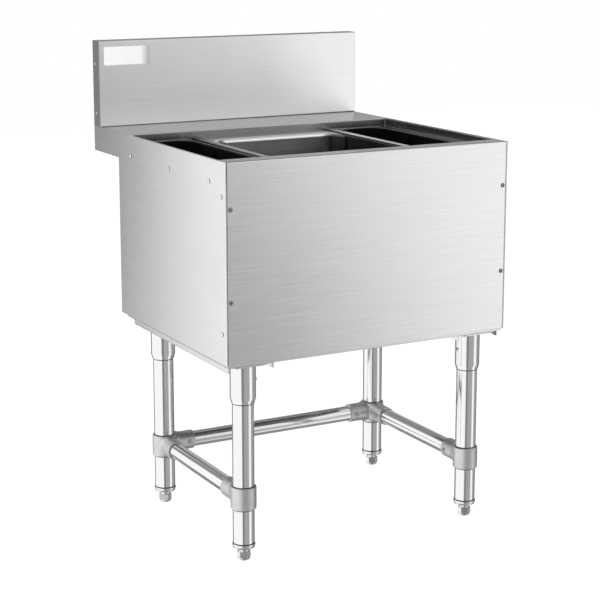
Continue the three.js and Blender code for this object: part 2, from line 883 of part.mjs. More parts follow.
add("drain_strainer", cut(strainerCup, strainerHoles).translate([0, binMiddle, 0]), steel);

// Leg channels: inverted channels under the pan, one on each side
for (const { name, sign } of sides) {
  const reach = (channelWidth - channelSheet) / 2;
  const foot = panBottom - channelHeight;
  const section = fold(
    [
      [sign * legX - reach, foot],
      [sign * legX - reach, panBottom - channelSheet / 2, foldRadius],
      [sign * legX + reach, panBottom - channelSheet / 2, foldRadius],
      [sign * legX + reach, foot],
    ],
    channelSheet,
  );
  const channel = push(
    shapeOf(section),
    "y",
    channelFrontSetback,
    cabinetDepth - channelRearSetback,
  );
  add(`${name}_leg_channel`, channel, steel);
}

// Leg socket: a plate welded under the channel, a turned cup with a tapered mouth, and its set screw
function legSocket(inward) {
  const bore = legRadius + boreGap;
  const taperTop = socketMouth + socketTaper;
  const mouth = bore + (socketRadius - bore) / 4;
  const cup = revolve(
    [
      [bore, socketMouth],
      [mouth, socketMouth],
      [socketRadius, taperTop],
      [socketRadius, webUnder],
      [bore, webUnder],
      [bore, socketMouth],
    ],
    tubeSides,
  );
  const half = socketPlate / 2;
  const plateArea = { x0: -half, x1: half, y0: -half, y1: half };
  const plateLoop = (z) => loop(plateArea, socketPlateCorner, z, evenly(0), foldSteps);
  const plateFoot = webUnder - socketPlateWall;
  const plate = loft([plateLoop(plateFoot), plateLoop(webUnder)]).subtract(
    rod(bore + sheet, plateFoot - overrun, webUnder + overrun, tubeSides),
  );
  const [from, to] = span(inward, bore, socketRadius + nubRise);
  const nub = crossRod(screwNub, "x", from, to, [0, socketMouth + screwAboveMouth], smallSides);
  return joined([cup, plate, nub.subtract(rod(bore, socketMouth, webUnder, tubeSides))]);
}

// Brace connector: a cast collar on the leg with an arm for each brace and a set screw in each
function connector(arms) {
  const bottom = collarMiddle - collarHeight / 2;
  const top = collarMiddle + collarHeight / 2;
  const collar = revolve(
    [
      [0, bottom],
      [socketRadius - collarEdge, bottom],
      [socketRadius, bottom + collarEdge],
      [socketRadius, top - collarEdge],
      [socketRadius - collarEdge, top],
      [0, top],
    ],
    tubeSides,
  );
  const solidArms = arms.map(({ axis, sign }) => {
    const arm = revolve(
      [
        [0, 0],
        [armRadius, 0],
        [armRadius, armReach - collarEdge],
        [armRadius - collarEdge, armReach],
        [0, armReach],
      ],
      braceSides,
    );
    return turnedTo(arm, axis, sign);
  });
  const nubs = arms.map(({ axis, sign, face }) => {
    const along = sign * (armReach - armScrewFromEnd);
    const body = rod(screwNub, braceRadius + boreGap, armRadius + nubRise, smallSides);
    const across = axis === "x" ? "y" : "x";
    const offset = axis === "x" ? [along, 0, braceHeight] : [0, along, braceHeight];
    return pointing(body, across, face).translate(offset);
  });
  const bores = arms.map(({ axis, sign }) =>
    turnedTo(rod(braceRadius + boreGap, braceFromLeg - gap, armReach + overrun, braceSides), axis, sign),
  );
  const legBore = rod(legRadius + boreGap, bottom - overrun, top + overrun, tubeSides);
  return cut(joined([collar, ...solidArms, ...nubs]), [legBore, ...bores]);
}

// Lays a body that stands on Z along X or Y, forwards or backwards
function pointing(body, axis, sign) {
  return axis === "x" ? body.rotate([0, sign * 90, 0]) : body.rotate([-sign * 90, 0, 0]);
}
function turnedTo(body, axis, sign) {
  return pointing(body, axis, sign).translate([0, 0, braceHeight]);
}

// Foot insert: a collar under the tube, a shank inside it and the bore for the foot's stem
function footInsert() {
  const shank = legRadius - legWall - boreGap;
  return revolve(
    [
      [stemRadius + boreGap, footHeight],
      [insertRadius - insertRound, footHeight],
      [insertRadius - insertRound / 3, footHeight + insertRound / 3],
      [insertRadius, footHeight + insertRound],
      [insertRadius, insertTop],
      [shank, insertTop],
      [shank, insertTop + insertDepth],
      [stemRadius + boreGap, insertTop + insertDepth],
      [stemRadius + boreGap, footHeight],
    ],
    tubeSides,
  );
}

// Foot: a rounded hexagon that a spanner turns, a neck and the stem
function foot() {
  const reach = footWidth / Math.sqrt(3);
  const hexTop = footHeight - footNeckHeight;
  const turned = revolve(
    [
      [0, 0],
      [footBase, 0],
      [(footBase + reach) / 2 + footRound / 8, footRound / 4],
      [reach - footRound / 8, footRound / 2],
      [reach, footRound],
      [reach, hexTop - footRound / 4],
      [reach - footRound / 4, hexTop],
      [0, hexTop],
    ],
    footSides,
  );
  const hex = push(shapeOf(hexagon(footWidth)), "z", 0, hexTop);
  const neck = rod(footNeckRadius, hexTop - sheet, footHeight - gap, tubeSides);
  const stem = rod(stemRadius, hexTop, footHeight + stemLength, smallSides);
  return joined([hex.intersect(turned), neck, stem]);
}

const insertBody = footInsert();
const footBody = foot();
const legTube = pipe(legRadius, legWall, insertTop + gap, webUnder - socketPlateWall, tubeSides);
for (const end of ends) {
  for (const { name, sign } of sides) {
    const place = [sign * legX, legY[end], 0];
    const corner = `${end}_${name}`;
    const arms = [{ axis: "y", sign: end === "front" ? 1 : -1, face: -sign }];
    if (end === "rear") arms.push({ axis: "x", sign: -sign, face: -1 });
    add(`${corner}_leg_socket`, legSocket(-sign).translate(place), polished);
    add(`${corner}_leg_tube`, legTube.translate(place), polished);
    add(`${corner}_brace_connector`, connector(arms).translate(place), casting);
    add(`${corner}_foot_insert`, insertBody.translate(place), zinc);
    add(`${corner}_foot`, footBody.translate(place), zinc);
  }
}

// Braces: one along each side and one across the rear
const brace = (from, to) =>
  pipe(braceRadius, braceWall, from + braceFromLeg, to - braceFromLeg, braceSides);
for (const { name, sign } of sides) {
  const bar = pointing(brace(legY.front, legY.rear), "y", 1);
  add(`${name}_brace`, bar.translate([sign * legX, 0, braceHeight]), polished);
}
const rearBar = pointing(brace(-legX, legX), "x", 1).translate([0, legY.rear, braceHeight]);
add("rear_brace", rearBar, polished);

// Fasteners: a domed head outside the sheet and a shank through it, made pointing up
const crownShare = 0.6; // radius where the head is full height
const screwRoundShare = 0.5;
const rivetRoundShare = 0.85;
function fastener(headRadius, head, shank, length, round) {
  return revolve(
    [
      [0, -length],
      [shank, -length],
      [shank, 0],
      [headRadius, 0],
      [headRadius, head * (1 - round)],
      [headRadius * crownShare, head],
      [0, head],
    ],
    smallSides,
  );
}
const screw = fastener(screwHeadRadius, screwHead, screwShank, screwLength, screwRoundShare);
for (const { name, x, z } of screwPlaces) {
  add(`front_screw_${name}`, pointing(screw, "y", -1).translate([x, 0, z]), zinc);
}
const rivet = fastener(rivetHeadRadius, rivetHead, rivetShank, rivetLength, rivetRoundShare);
for (const { name: side, sign } of sides) {
  for (const { name, y, z } of rivetPlaces) {
    const body = pointing(rivet, "x", sign).translate([sign * halfWidth, y, z]);
    add(`${side}_rivet_${name}`, body, zinc);
  }
}

// The part's own frame: origin on the floor, under the middle of the whole
const part = new THREE.Group();
bench.position.set(0, -(overallDepth - screwHead) / 2, 0);
part.add(bench);

export default part;
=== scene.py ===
import json
import math
import bmesh
import bpy
import numpy as np
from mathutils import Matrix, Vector


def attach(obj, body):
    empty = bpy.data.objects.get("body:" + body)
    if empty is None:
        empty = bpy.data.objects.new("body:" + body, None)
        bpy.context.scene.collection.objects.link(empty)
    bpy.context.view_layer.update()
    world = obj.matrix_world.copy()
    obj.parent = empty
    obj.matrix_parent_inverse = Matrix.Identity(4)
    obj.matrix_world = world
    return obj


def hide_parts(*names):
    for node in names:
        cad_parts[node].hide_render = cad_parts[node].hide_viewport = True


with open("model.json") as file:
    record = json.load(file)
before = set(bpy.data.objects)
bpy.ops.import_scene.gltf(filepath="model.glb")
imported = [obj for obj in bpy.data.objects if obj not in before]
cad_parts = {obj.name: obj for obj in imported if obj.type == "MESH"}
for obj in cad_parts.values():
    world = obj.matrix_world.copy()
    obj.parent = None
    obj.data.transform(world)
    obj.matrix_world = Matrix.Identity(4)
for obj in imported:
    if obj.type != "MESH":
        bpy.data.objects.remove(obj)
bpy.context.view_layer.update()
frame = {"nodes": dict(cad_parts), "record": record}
nodes = frame["nodes"]
bodyOf = {node: body for body, members in frame["record"]["behaviour"]["bodies"].items() for node in members}
print("frame loaded,", len(nodes), "nodes")

# Sizes below are millimetres from the face of the front panel; the frame's middle lies 309.4 mm behind it
toMetres = 0.001
frameMiddle = 309.4
tau = 2 * math.pi
signOf = {"left": -1, "right": 1}
brushed = "brushed_stainless"  # the slot of all sheet metal


# Angles all the way round
def circle(sides):
    return np.linspace(0, tau, sides, endpoint=False)


# Points round Z: (r cos a, r sin a, z)
def polar(radius, angle, height):
    return np.stack([radius * np.cos(angle), radius * np.sin(angle), height + 0 * angle], -1)


# Every point (r, z) of a profile carried round Z
def turned(profile, sides=64):
    profile = np.asarray(profile, float)
    return polar(profile[:, :1], circle(sides), profile[:, 1:])


# A body made upright, laid along X or Y, forwards or backwards
def laid(points, axis, sign=1):
    x, y, z = points[..., 0], points[..., 1], points[..., 2]
    return np.stack([sign * z, x, y] if axis == "x" else [y, sign * z, x], -1)


# A line of corners (a, b, radius), each corner eased by an arc that touches both of its sides
def rounded(corners, closed=True, steps=5):
    places = [np.array(corner[:2], float) for corner in corners]
    parts = []
    for i, here in enumerate(places):
        radius = corners[i][2] if len(corners[i]) > 2 else 0
        if radius == 0 or (not closed and i in (0, len(places) - 1)):
            parts.append(here[None])
            continue
        back = places[i - 1] - here
        ahead = places[(i + 1) % len(places)] - here
        back, ahead = back / np.hypot(*back), ahead / np.hypot(*ahead)
        half = np.arccos(np.clip(back @ ahead, -1, 1)) / 2
        middle = here + (back + ahead) / np.hypot(*(back + ahead)) * radius / np.sin(half)
        start = here + back * radius / np.tan(half) - middle
        end = here + ahead * radius / np.tan(half) - middle
        first = np.arctan2(start[1], start[0])
        sweep = (np.arctan2(end[1], end[0]) - first + math.pi) % tau - math.pi
        angle = first + sweep * np.linspace(0, 1, steps + 1)
        parts.append(middle + radius * np.stack([np.cos(angle), np.sin(angle)], -1))
    return np.concatenate(parts)


# The section of a folded sheet: its middle line moved half the wall to either side, folds rounded
def foldedSection(path, wall, inside=1.0, steps=5):
    points = np.array(path, float)
    along = np.diff(points, axis=0)
    along /= np.linalg.norm(along, axis=1)[:, None]
    across = np.stack([-along[:, 1], along[:, 0]], -1)
    bends = along[:-1, 0] * along[1:, 1] - along[:-1, 1] * along[1:, 0]
    meets = (across[:-1] + across[1:]) / (1 + np.sum(across[:-1] * across[1:], 1))[:, None]
    shift = np.concatenate([across[:1], meets, across[-1:]]) * wall / 2
    flanks = []
    for side in (1, -1):
        radii = [0, *(inside if bend * side > 0 else inside + wall for bend in bends), 0]
        corners = [(*place, radius) for place, radius in zip(points + side * shift, radii)]
        flanks.append(rounded(corners, False, steps))
    return np.concatenate([flanks[0], flanks[1][::-1]])


# A section carried straight along one axis; its two columns are the other two coordinates in order
def pushed(section, axis, start, end):
    rows = []
    for place in (start, end):
        columns = [section[:, 0], section[:, 1]]
        columns.insert("xyz".index(axis), np.full(len(section), float(place)))
        rows.append(np.stack(columns, -1))
    return np.stack(rows)


# A level loop round a rectangle (x0, x1, y0, y1) grown by spread, with arcs at its corners and points
# along its sides; spread may be one number or (x sides, front, rear)
def loop(area, corner, z, spread=0, cornerSteps=8, sideSteps=6):
    sides, front, rear = spread if isinstance(spread, tuple) else (spread, spread, spread)
    x0, x1, y0, y1 = area[0] - sides, area[1] + sides, area[2] - front, area[3] + rear
    radius = max(corner, 0.1)
    quarter = math.pi / 2
    right, left, near, far = x1 - radius, x0 + radius, y0 + radius, y1 - radius
    arcs = []
    for i, (x, y) in enumerate([(right, near), (right, far), (left, far), (left, near)]):
        angle = (i - 1) * quarter + quarter * np.linspace(0, 1, cornerSteps + 1)
        arcs.append(np.stack([x + radius * np.cos(angle), y + radius * np.sin(angle)], -1))
    parts = []
    for i, arc in enumerate(arcs):
        share = np.linspace(0, 1, sideSteps + 1)[1:-1, None]
        parts += [arc, arc[-1] + (arcs[(i + 1) % 4][0] - arc[-1]) * share]
    flat = np.concatenate(parts)
    return np.column_stack([flat, np.full(len(flat), float(z))])


# The circle that a loop shrinks to: every point of the loop moved along its own ray to one radius
def circleUnder(points, centre, radius, z):
    ray = points[:, :2] - np.array(centre)
    ray /= np.linalg.norm(ray, axis=1)[:, None]
    return np.column_stack([np.array(centre) + ray * radius, np.full(len(points), float(z))])


# A surface is a grid of points (rows, columns, 3) and how it closes
def surface(points, closeRows=False, closeColumns=True, capped=False):
    rows, columns = points.shape[:2]
    row, column = np.meshgrid(
        np.arange(rows if closeRows else rows - 1),
        np.arange(columns if closeColumns else columns - 1),
        indexing="ij",
    )
    nextRow, nextColumn = (row + 1) % rows, (column + 1) % columns
    corners = [(row, column), (row, nextColumn), (nextRow, nextColumn), (nextRow, column)]
    quads = np.stack([r * columns + c for r, c in corners], -1).reshape(-1, 4)
    faces = quads.tolist()
    if capped:
        faces += [list(range(columns))[::-1], list(range((rows - 1) * columns, rows * columns))]
    return points.reshape(-1, 3), faces


def meshOf(name, points, faces):
    mesh = bpy.data.meshes.new(name)
    mesh.from_pydata(points.tolist(), [], faces)
    return mesh


# Seams and poles joined and, where asked, the faces turned outward
def merged(mesh, outward=False):
    tidied = bmesh.new()
    tidied.from_mesh(mesh)
    bmesh.ops.remove_doubles(tidied, verts=tidied.verts, dist=2e-6)
    if outward:
        bmesh.ops.recalc_face_normals(tidied, faces=tidied.faces)
    tidied.to_mesh(mesh)
    tidied.free()


def attribute(mesh, name, values):
    mesh.attributes.new(name, "FLOAT", "POINT").data.foreach_set("value", values)


def inScene(name, data):
    made = bpy.data.objects.new(name, data)
    bpy.context.scene.collection.objects.link(made)
    return made


# A piece of the object from surfaces in millimetres, put in the frame
def piece(name, surfaces, finish, slot, standsFor=(), body=None, crease=35, soil=None):
    points, faces, count = [], [], 0
    for places, polygons in surfaces:
        points.append(places)
        faces += [[corner + count for corner in polygon] for polygon in polygons]
        count += len(places)
    points = (np.concatenate(points) - (0, frameMiddle, 0)) * toMetres
    mesh = meshOf(name, points, faces)
    merged(mesh, outward=True)
    if soil:
        places = np.empty(len(mesh.vertices) * 3, np.float32)
        mesh.vertices.foreach_get("co", places)
        shares = soil(places.reshape(-1, 3) / toMetres + (0, frameMiddle, 0))
        attribute(mesh, "soil", shares.astype(np.float32))
    return dressed(name, mesh, finish, standsFor, body, crease)


# A copy of a CAD sheet, merged, so that its folds and rounds can be shaded smooth
def copied(node, finish, crease=50):
    mesh = nodes[node].data.copy()
    merged(mesh)
    mesh.materials.clear()
    return dressed(node + "_sheet", mesh, finish, (node,), None, crease)


# Split normals: at every corner the faces round its vertex that turn less than the crease from its own face,
# summed with the square of their area, so that flats stay flat and the folds between them turn smoothly
def flatSided(mesh, crease):
    corners = len(mesh.loops)
    vertex, sizes = np.empty(corners, np.int32), np.empty(len(mesh.polygons), np.int32)
    normal, area = np.empty(len(mesh.polygons) * 3, np.float32), np.empty(len(mesh.polygons), np.float32)
    mesh.loops.foreach_get("vertex_index", vertex)
    mesh.polygons.foreach_get("loop_total", sizes)
    mesh.polygons.foreach_get("normal", normal)
    mesh.polygons.foreach_get("area", area)
    normal = normal.reshape(-1, 3).astype(float)
    face = np.repeat(np.arange(len(sizes)), sizes)
    order, counts = np.argsort(vertex, kind="stable"), np.bincount(vertex)
    around = np.full((len(counts), counts.max()), -1)
    around[vertex[order], np.arange(corners) - np.repeat(np.cumsum(counts) - counts, counts)] = face[order]
    near = around[vertex]
    likeness = np.einsum("cfk,ck->cf", normal[near], normal[face])
    weight = (near >= 0) * (likeness > math.cos(math.radians(crease))) * (area[near] * 1e6 + 1e-6) ** 2
    total = np.einsum("cf,cfk->ck", weight, normal[near])
    mesh.normals_split_custom_set((total / np.linalg.norm(total, axis=1)[:, None]).tolist())


# Every piece: smooth, with its own split normals, one finish, and the body that carries it
def dressed(name, mesh, finish, standsFor, body, crease):
    mesh.shade_smooth()
    flatSided(mesh, crease)
    mesh.materials.append(finish)
    made = inScene(name, mesh)
    if standsFor:
        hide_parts(*standsFor)
    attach(made, body or bodyOf[standsFor[0]])
    return made


# sRGB hex to the linear colour that a shader takes
def linear(code):
    parts = [int(code[i : i + 2], 16) / 255 for i in (1, 3, 5)]
    return tuple(c / 12.92 if c <= 0.04045 else ((c + 0.055) / 1.055) ** 2.4 for c in parts) + (1.0,)


# Adds a node; an input that is another node's output is linked, and any other is set
def add(tree, kind, inputs=(), **settings):
    made = tree.nodes.new("ShaderNode" + kind)
    for key, value in settings.items():
        setattr(made, key, value)
    for key, value in dict(inputs).items():
        if isinstance(value, bpy.types.NodeSocket):
            tree.links.new(value, made.inputs[key])
        else:
            made.inputs[key].default_value = value
    return made


# A tone between two others by a share from 0 to 1; each is a hex code or another node's output
def blend(tree, share, start, end):
    tones = [linear(tone) if isinstance(tone, str) else tone for tone in (start, end)]
    return add(tree, "Mix", {0: share, 6: tones[0], 7: tones[1]}, data_type="RGBA").outputs[2]


# A value carried from one range to another and held at both ends
def mapped(tree, value, before, after):
    limits = dict(zip((1, 2, 3, 4), (*before, *after)))
    return add(tree, "MapRange", {0: value, **limits}).outputs[0]


def objectPlace(tree):
    return add(tree, "TexCoord").outputs["Object"]


def reckon(tree, operation, *values, clamp=False):
    inputs = dict(enumerate(values))
    return add(tree, "Math", inputs, operation=operation, use_clamp=clamp).outputs[0]


def noise(tree, place, perMetre, detail, roughness=0.5):
    inputs = {"Vector": place, "Scale": perMetre, "Detail": detail, "Roughness": roughness}
    return add(tree, "TexNoise", inputs).outputs["Fac"]


def cells(tree, place, width):
    return add(tree, "TexVoronoi", {"Vector": place, "Scale": 1000 / width}).outputs["Distance"]


def bump(tree, height, depth, strength=1.0, under=None):
    inputs = {"Height": height, "Strength": strength, "Distance": depth * toMetres}
    if under is not None:
        inputs["Normal"] = under
    return add(tree, "Bump", inputs).outputs[0]


# Painted shade, where a piece carries it as an attribute: a darker tone at the tube joints and round fastener
# heads
def withPaintedShade(tree, tone, look):
    if "soilTone" not in look:
        return tone
    soil = add(tree, "Attribute", attribute_name="soil").outputs["Fac"]
    return blend(tree, soil, tone, look["soilTone"])


def blank(name):
    finish = bpy.data.materials.new(name)
    finish.use_nodes = True
    tree = finish.node_tree
    tree.nodes.clear()
    return finish, tree


def finished(finish, inputs, kind="BsdfPrincipled"):
    shader = add(finish.node_tree, kind, inputs)
    add(finish.node_tree, "OutputMaterial", {"Surface": shader.outputs[0]})
    return finish


# Stainless steel 304, brushed: long fine lines one way, which spread highlights across the grain and keep
# them narrow along it. Real lines are about 0.05 mm apart, too fine to show, so they are drawn 2 mm wide.
brushedLook = {
    "lightTone": "#eeeeee", "darkTone": "#dcdcdc", "lineWidth": 2.0, "lineLength": 110,
    "lineDepth": 0.0003, "lineRoughness": 0.6, "patchesPerMetre": 9.0, "glossRange": (0.6, 1.4),
    "roughness": (0.17, 0.21), "waveWidth": 160, "waveDepth": 0.05, "anisotropy": 0.93,
    "endRange": (0.6, 0.8), "foldRadius": 1.2, "twist": 0.0,
}


def brushedSteel(name, along, look=brushedLook):
    finish, tree = blank(name)
    place = objectPlace(tree)
    stretch = [1000 / look["lineWidth"]] * 3
    stretch["xyz".index(along)] = 1000 / look["lineLength"]
    grainPlace = add(tree, "Mapping", {"Vector": place, "Scale": stretch}).outputs[0]
    grain = noise(tree, grainPlace, 1.0, 3.0, look["lineRoughness"])
    patch = noise(tree, place, look["patchesPerMetre"], 2.0)
    wave = noise(tree, place, 1000 / look["waveWidth"], 1.0)
    tone = blend(tree, grain, look["darkTone"], look["lightTone"])
    gloss = mapped(tree, reckon(tree, "ADD", grain, patch), look["glossRange"], look["roughness"])
    normal = add(tree, "NewGeometry").outputs["Normal"]
    facing = add(tree, "SeparateXYZ", {0: normal}).outputs
    # Painted shade: the tone darkens by how far a face looks along one axis, either way
    if "shadeAxis" in look:  # duller by how far a face looks along one axis, either way
        turn = reckon(tree, "ABSOLUTE", facing["xyz".index(look["shadeAxis"])])
        tone = blend(tree, mapped(tree, turn, look["shadeFrom"], (0.0, 1.0)), tone, look["shadeTone"])
    # Painted shade: the tone darkens the lower a face lies, but not on faces that look sideways; where
    # deepRoughness is set it also grows rougher
    if "deepShadeTone" in look:  # duller the lower it lies, but for faces that look sideways
        height = add(tree, "SeparateXYZ", {0: place}).outputs[2]
        below = mapped(tree, height, [z * toMetres for z in look["deepShadeHeights"]], (1.0, 0.0))
        depth = reckon(tree, "SUBTRACT", below, reckon(tree, "ABSOLUTE", facing[0]), clamp=True)
        tone = blend(tree, depth, tone, look["deepShadeTone"])
        if "deepRoughness" in look:
            gloss = add(tree, "Mix", {0: depth, 2: gloss, 3: look["deepRoughness"]}).outputs[0]
    # Folds catch a thin line of light, and a long sheet may stand a little twisted
    eased = add(tree, "Bevel", {"Radius": look["foldRadius"] * toMetres}, samples=6).outputs[0]
    twist = {0: eased, 1: (look["twist"], 0.0, 0.0)}
    twisted = add(tree, "VectorMath", twist, operation="ADD").outputs[0]
    bent = bump(tree, wave, look["waveDepth"], under=twisted)
    inputs = {
        "Base Color": withPaintedShade(tree, tone, look),
        "Metallic": 1.0,
        "Roughness": gloss,
        "Anisotropic": look["anisotropy"],
        "Normal": bump(tree, grain, look["lineDepth"], under=bent),
    }
    if look["anisotropy"]:
        # Highlights stretch across the grain: upright on walls, and on level faces to the rear or the side;
        # a face that looks along the grain is a folded end, whose grain has turned with it
        level = "xy".index(along)
        share = mapped(tree, reckon(tree, "ABSOLUTE", facing[level]), look["endRange"], (1.0, 0.0))
        inputs["Tangent"] = add(tree, "CombineXYZ", {level: 0.0, 1 - level: share, 2: 1.0}).outputs[0]
    return finished(finish, inputs)


# The same sheet, with painted shade: darker on the deck and lower in its recess, on the level faces under the
# pan, on the caps and in the tub;
# the splash stands twisted by its fixings, so that it shows the light of another part of the room
deckLook = dict(
    brushedLook, lightTone="#c2c2c2", darkTone="#b4b4b4", deepShadeTone="#848484", deepShadeHeights=(752.0, 764.0)
)
# Painted shade under the cabinet: the level faces of the pan and the channels darker
panLook = dict(brushedLook, shadeAxis="z", shadeFrom=(0.6, 0.9), shadeTone="#858585")
# Painted shade on the caps: the left cap painted far darker than the right, and on both the faces that look
# sideways darker still
capLook = dict(brushedLook, shadeAxis="x", shadeFrom=(0.5, 0.8), shadeTone="#4a4a4a")
capShadedLooks = {
    "left": dict(capLook, lightTone="#787878", darkTone="#6a6a6a"),
    "right": dict(capLook, lightTone="#dadada", darkTone="#cccccc"),
}
splashLook = dict(
    brushedLook,
    # Painted light: the splash is painted lighter than the rest of the sheet, and its faces that look away from
    # the front and the rear carry painted shade
    lightTone="#fafafa",
    darkTone="#e6e6e6",
    roughness=(0.27, 0.32),
    anisotropy=0.98,
    twist=0.04,
    shadeAxis="y",
    shadeFrom=(0.9, 0.6),  # from high to low: dull where a face looks away from the front and the rear
    shadeTone="#b4b4b4",
)
# Painted shade in the tub: darker the lower it lies and on its side walls
tubLook = dict(
    brushedLook, roughness=(0.15, 0.21), deepRoughness=0.34, shadeAxis="x", shadeFrom=(0.1, 0.45),
    shadeTone="#6c6c6c", deepShadeTone="#727272", deepShadeHeights=(695.0, 744.0),
)

# Stainless tube, belt polished: a tighter mirror than sheet, with faint rings round the tube, and painted shade
# where it meets the socket, the collar and the insert.
tubeLook = dict(
    brushedLook, lightTone="#efefef", darkTone="#e2e2e2", soilTone="#4a4a4a", lineWidth=1.6,
    lineLength=20, lineDepth=0.0002, roughness=(0.08, 0.13), waveWidth=90, waveDepth=0.004,
    anisotropy=0.0,
)

# Cast aluminium, tumbled: a dull light grey with a fine sandy skin, so that highlights spread wide.
castLook = {
    "lightTone": "#e3e3e3", "darkTone": "#cbcbcb", "cloudsPerMetre": 60.0, "grainWidth": 1.2,
    "grainDepth": 0.12, "grainStrength": 0.8, "pitWidth": 3.5, "glossRange": (0.3, 0.7),
    "roughness": (0.38, 0.55),
}

# Zinc-plated steel, turned: bright with a thin haze, the look of feet, nuts and the drain's thread.
platedLook = dict(
    castLook, lightTone="#eaeaea", darkTone="#d6d6d6", grainWidth=2.0, grainDepth=0.01,
    pitWidth=6.0, roughness=(0.12, 0.2),
)

# Screws and rivets, the same plating gone dull, with painted shade round the head and, on a screw, in its
# cross.
screwLook = dict(
    platedLook, lightTone="#eeeeee", darkTone="#dcdcdc", soilTone="#1e1e1e", roughness=(0.35, 0.45)
)
rivetLook = dict(
    platedLook, lightTone="#f6f6f6", darkTone="#ececec", soilTone="#262626", roughness=(0.3, 0.36)
)


def castMetal(name, look):
    finish, tree = blank(name)
    place = objectPlace(tree)
    sand = noise(tree, place, 1000 / look["grainWidth"], 2.0)
    skin = reckon(tree, "ADD", sand, cells(tree, place, look["pitWidth"]))
    cloud = noise(tree, place, look["cloudsPerMetre"], 3.0)
    inputs = {
        "Base Color": withPaintedShade(tree, blend(tree, cloud, look["darkTone"], look["lightTone"]), look),
        "Metallic": 1.0,
        "Roughness": mapped(tree, sand, look["glossRange"], look["roughness"]),
        "Normal": bump(tree, skin, look["grainDepth"], look["grainStrength"]),
    }
    return finished(finish, inputs)


# ABS, moulded black: near black with a soft sheen and a fine leather-like grain from the mould.
absLook = {
    "tone": "#050506", "dust": "#0c0c0d", "dustRange": (0.45, 0.75), "cloudsPerMetre": 14.0,
    "grainWidth": 1.4, "grainDepth": 0.05, "grainStrength": 0.5, "glossRange": (0.3, 0.7),
    "roughness": (0.48, 0.6), "sheen": 0.08,
}

# Polyurethane foam, poured: matt yellow cells behind the tub, seen only where the cabinet is open.
foamLook = dict(
    absLook, tone="#d9c58c", dust="#c2a86b", grainWidth=3.0, grainDepth=0.6, roughness=(0.85, 0.95),
    sheen=0.5,
)


def mouldedSkin(name, look):
    finish, tree = blank(name)
    place = objectPlace(tree)
    cloud = noise(tree, place, look["cloudsPerMetre"], 4.0, 0.6)
    share = mapped(tree, cloud, look["dustRange"], (0.0, 1.0))
    grain = cells(tree, place, look["grainWidth"])
    inputs = {
        "Base Color": blend(tree, share, look["tone"], look["dust"]),
        "Roughness": mapped(tree, cloud, look["glossRange"], look["roughness"]),
        "Specular IOR Level": look["sheen"],
        "Normal": bump(tree, grain, look["grainDepth"], look["grainStrength"]),
    }
    return finished(finish, inputs)


# Printed foil label, left bare: smooth white film whose right end fades to a silver grey.
labelLook = {
    "tone": "#fbfbfb", "fade": "#b9bbbd", "fadeRange": (-212.0, -196.0), "flecksPerMetre": 400.0,
    "glossRange": (0.3, 0.7), "roughness": (0.3, 0.4),
}


def labelFilm(name, look):
    finish, tree = blank(name)
    place = objectPlace(tree)
    across = add(tree, "SeparateXYZ", {0: place}).outputs[0]
    share = mapped(tree, across, [x * toMetres for x in look["fadeRange"]], (0.0, 1.0))
    fleck = noise(tree, place, look["flecksPerMetre"], 2.0)
    inputs = {
        "Base Color": blend(tree, share, look["tone"], look["fade"]),
        "Roughness": mapped(tree, fleck, look["glossRange"], look["roughness"]),
    }
    return finished(finish, inputs)


sheetAcross = brushedSteel("Stainless 304, brushed across", "x")
sheetAlong = brushedSteel("Stainless 304, brushed to the rear", "y")
deckSteel = brushedSteel("Stainless 304, brushed across, painted shade on the deck", "x", deckLook)
panSteel = brushedSteel("Stainless 304, brushed across, painted shade underneath", "x", panLook)
capSteel = {
    name: brushedSteel("Stainless 304, brushed to the rear, " + name + " cap", "y", look)
    for name, look in capShadedLooks.items()
}
splashSteel = brushedSteel("Stainless 304, brushed across, splash", "x", splashLook)
linerSteel = brushedSteel("Stainless 304, drawn satin tub, painted shade inside", "x", tubLook)
tubeUpright = brushedSteel("Stainless tube, belt polished, upright", "x", tubeLook)
castCollar = castMetal("Cast aluminium, tumbled", castLook)
platedSteel = castMetal("Zinc-plated steel, turned", platedLook)
screwSteel = castMetal("Zinc-plated steel, dulled", screwLook)
rivetSteel = castMetal("Stainless rivet, tumbled", rivetLook)
blackAbs = mouldedSkin("ABS, moulded black", absLook)
foamCells = mouldedSkin("Polyurethane foam, poured", foamLook)
labelFinish = labelFilm("Foil label, printed and left bare", labelLook)
print("finishes made")

# Sheet metal: the folded sheets keep their CAD shapes, merged and smoothly shaded at the folds
for node in ("front_panel", "back_panel", "rear_apron"):
    copied(node, sheetAcross)
copied("bottom_panel", panSteel)
copied("top_deck", deckSteel)
for side in signOf:
    copied(side + "_side_panel", sheetAlong)
    copied(side + "_front_bracket", sheetAlong)
copied("backsplash", splashSteel)

# The splash's bare label: a rounded rectangle pushed out from the face of the splash
label = {
    "left": -294.1, "right": -191.8, "bottom": 892.6, "top": 930.2, "corner": 1.5,
    "thick": 0.4, "face": 586.0,
}
labelCorners = [("left", "bottom"), ("right", "bottom"), ("right", "top"), ("left", "top")]
labelEdge = rounded([(label[side], label[level], label["corner"]) for side, level in labelCorners])
labelRows = pushed(labelEdge, "y", label["face"], label["face"] - label["thick"])
piece("bare_label", [surface(labelRows, capped=True)], labelFinish, brushed, body="cabinet")
print("sheet metal dressed")

# Ice tub: one skin that runs from the drain's hole over the flange and back, closed on itself.
# Every row is a rounded rectangle whose inset follows a quarter turn: inset = r (1 - sin t), z = r (1 - cos t)
tub = {
    "area": (-146.0, 146.0, 56.0, 388.0), "flange": (-157.0, 157.0, 40.3, 444.2),
    "flangeCorner": 1.0, "floor": 443.0, "top": 748.0, "wall": 1.5, "corner": 37.0,
    "cove": 20.0, "sideRoll": 1.9, "rearRoll": 12.0, "rearRise": 4.5, "bead": 3.0,
    "beadWidth": 9.0, "beadEnds": (384.0, 398.0), "sump": 50.0, "sumpFloor": 431.0,
    "sumpRound": 4.0, "drain": (0.0, 222.0), "hole": 17.0,
}


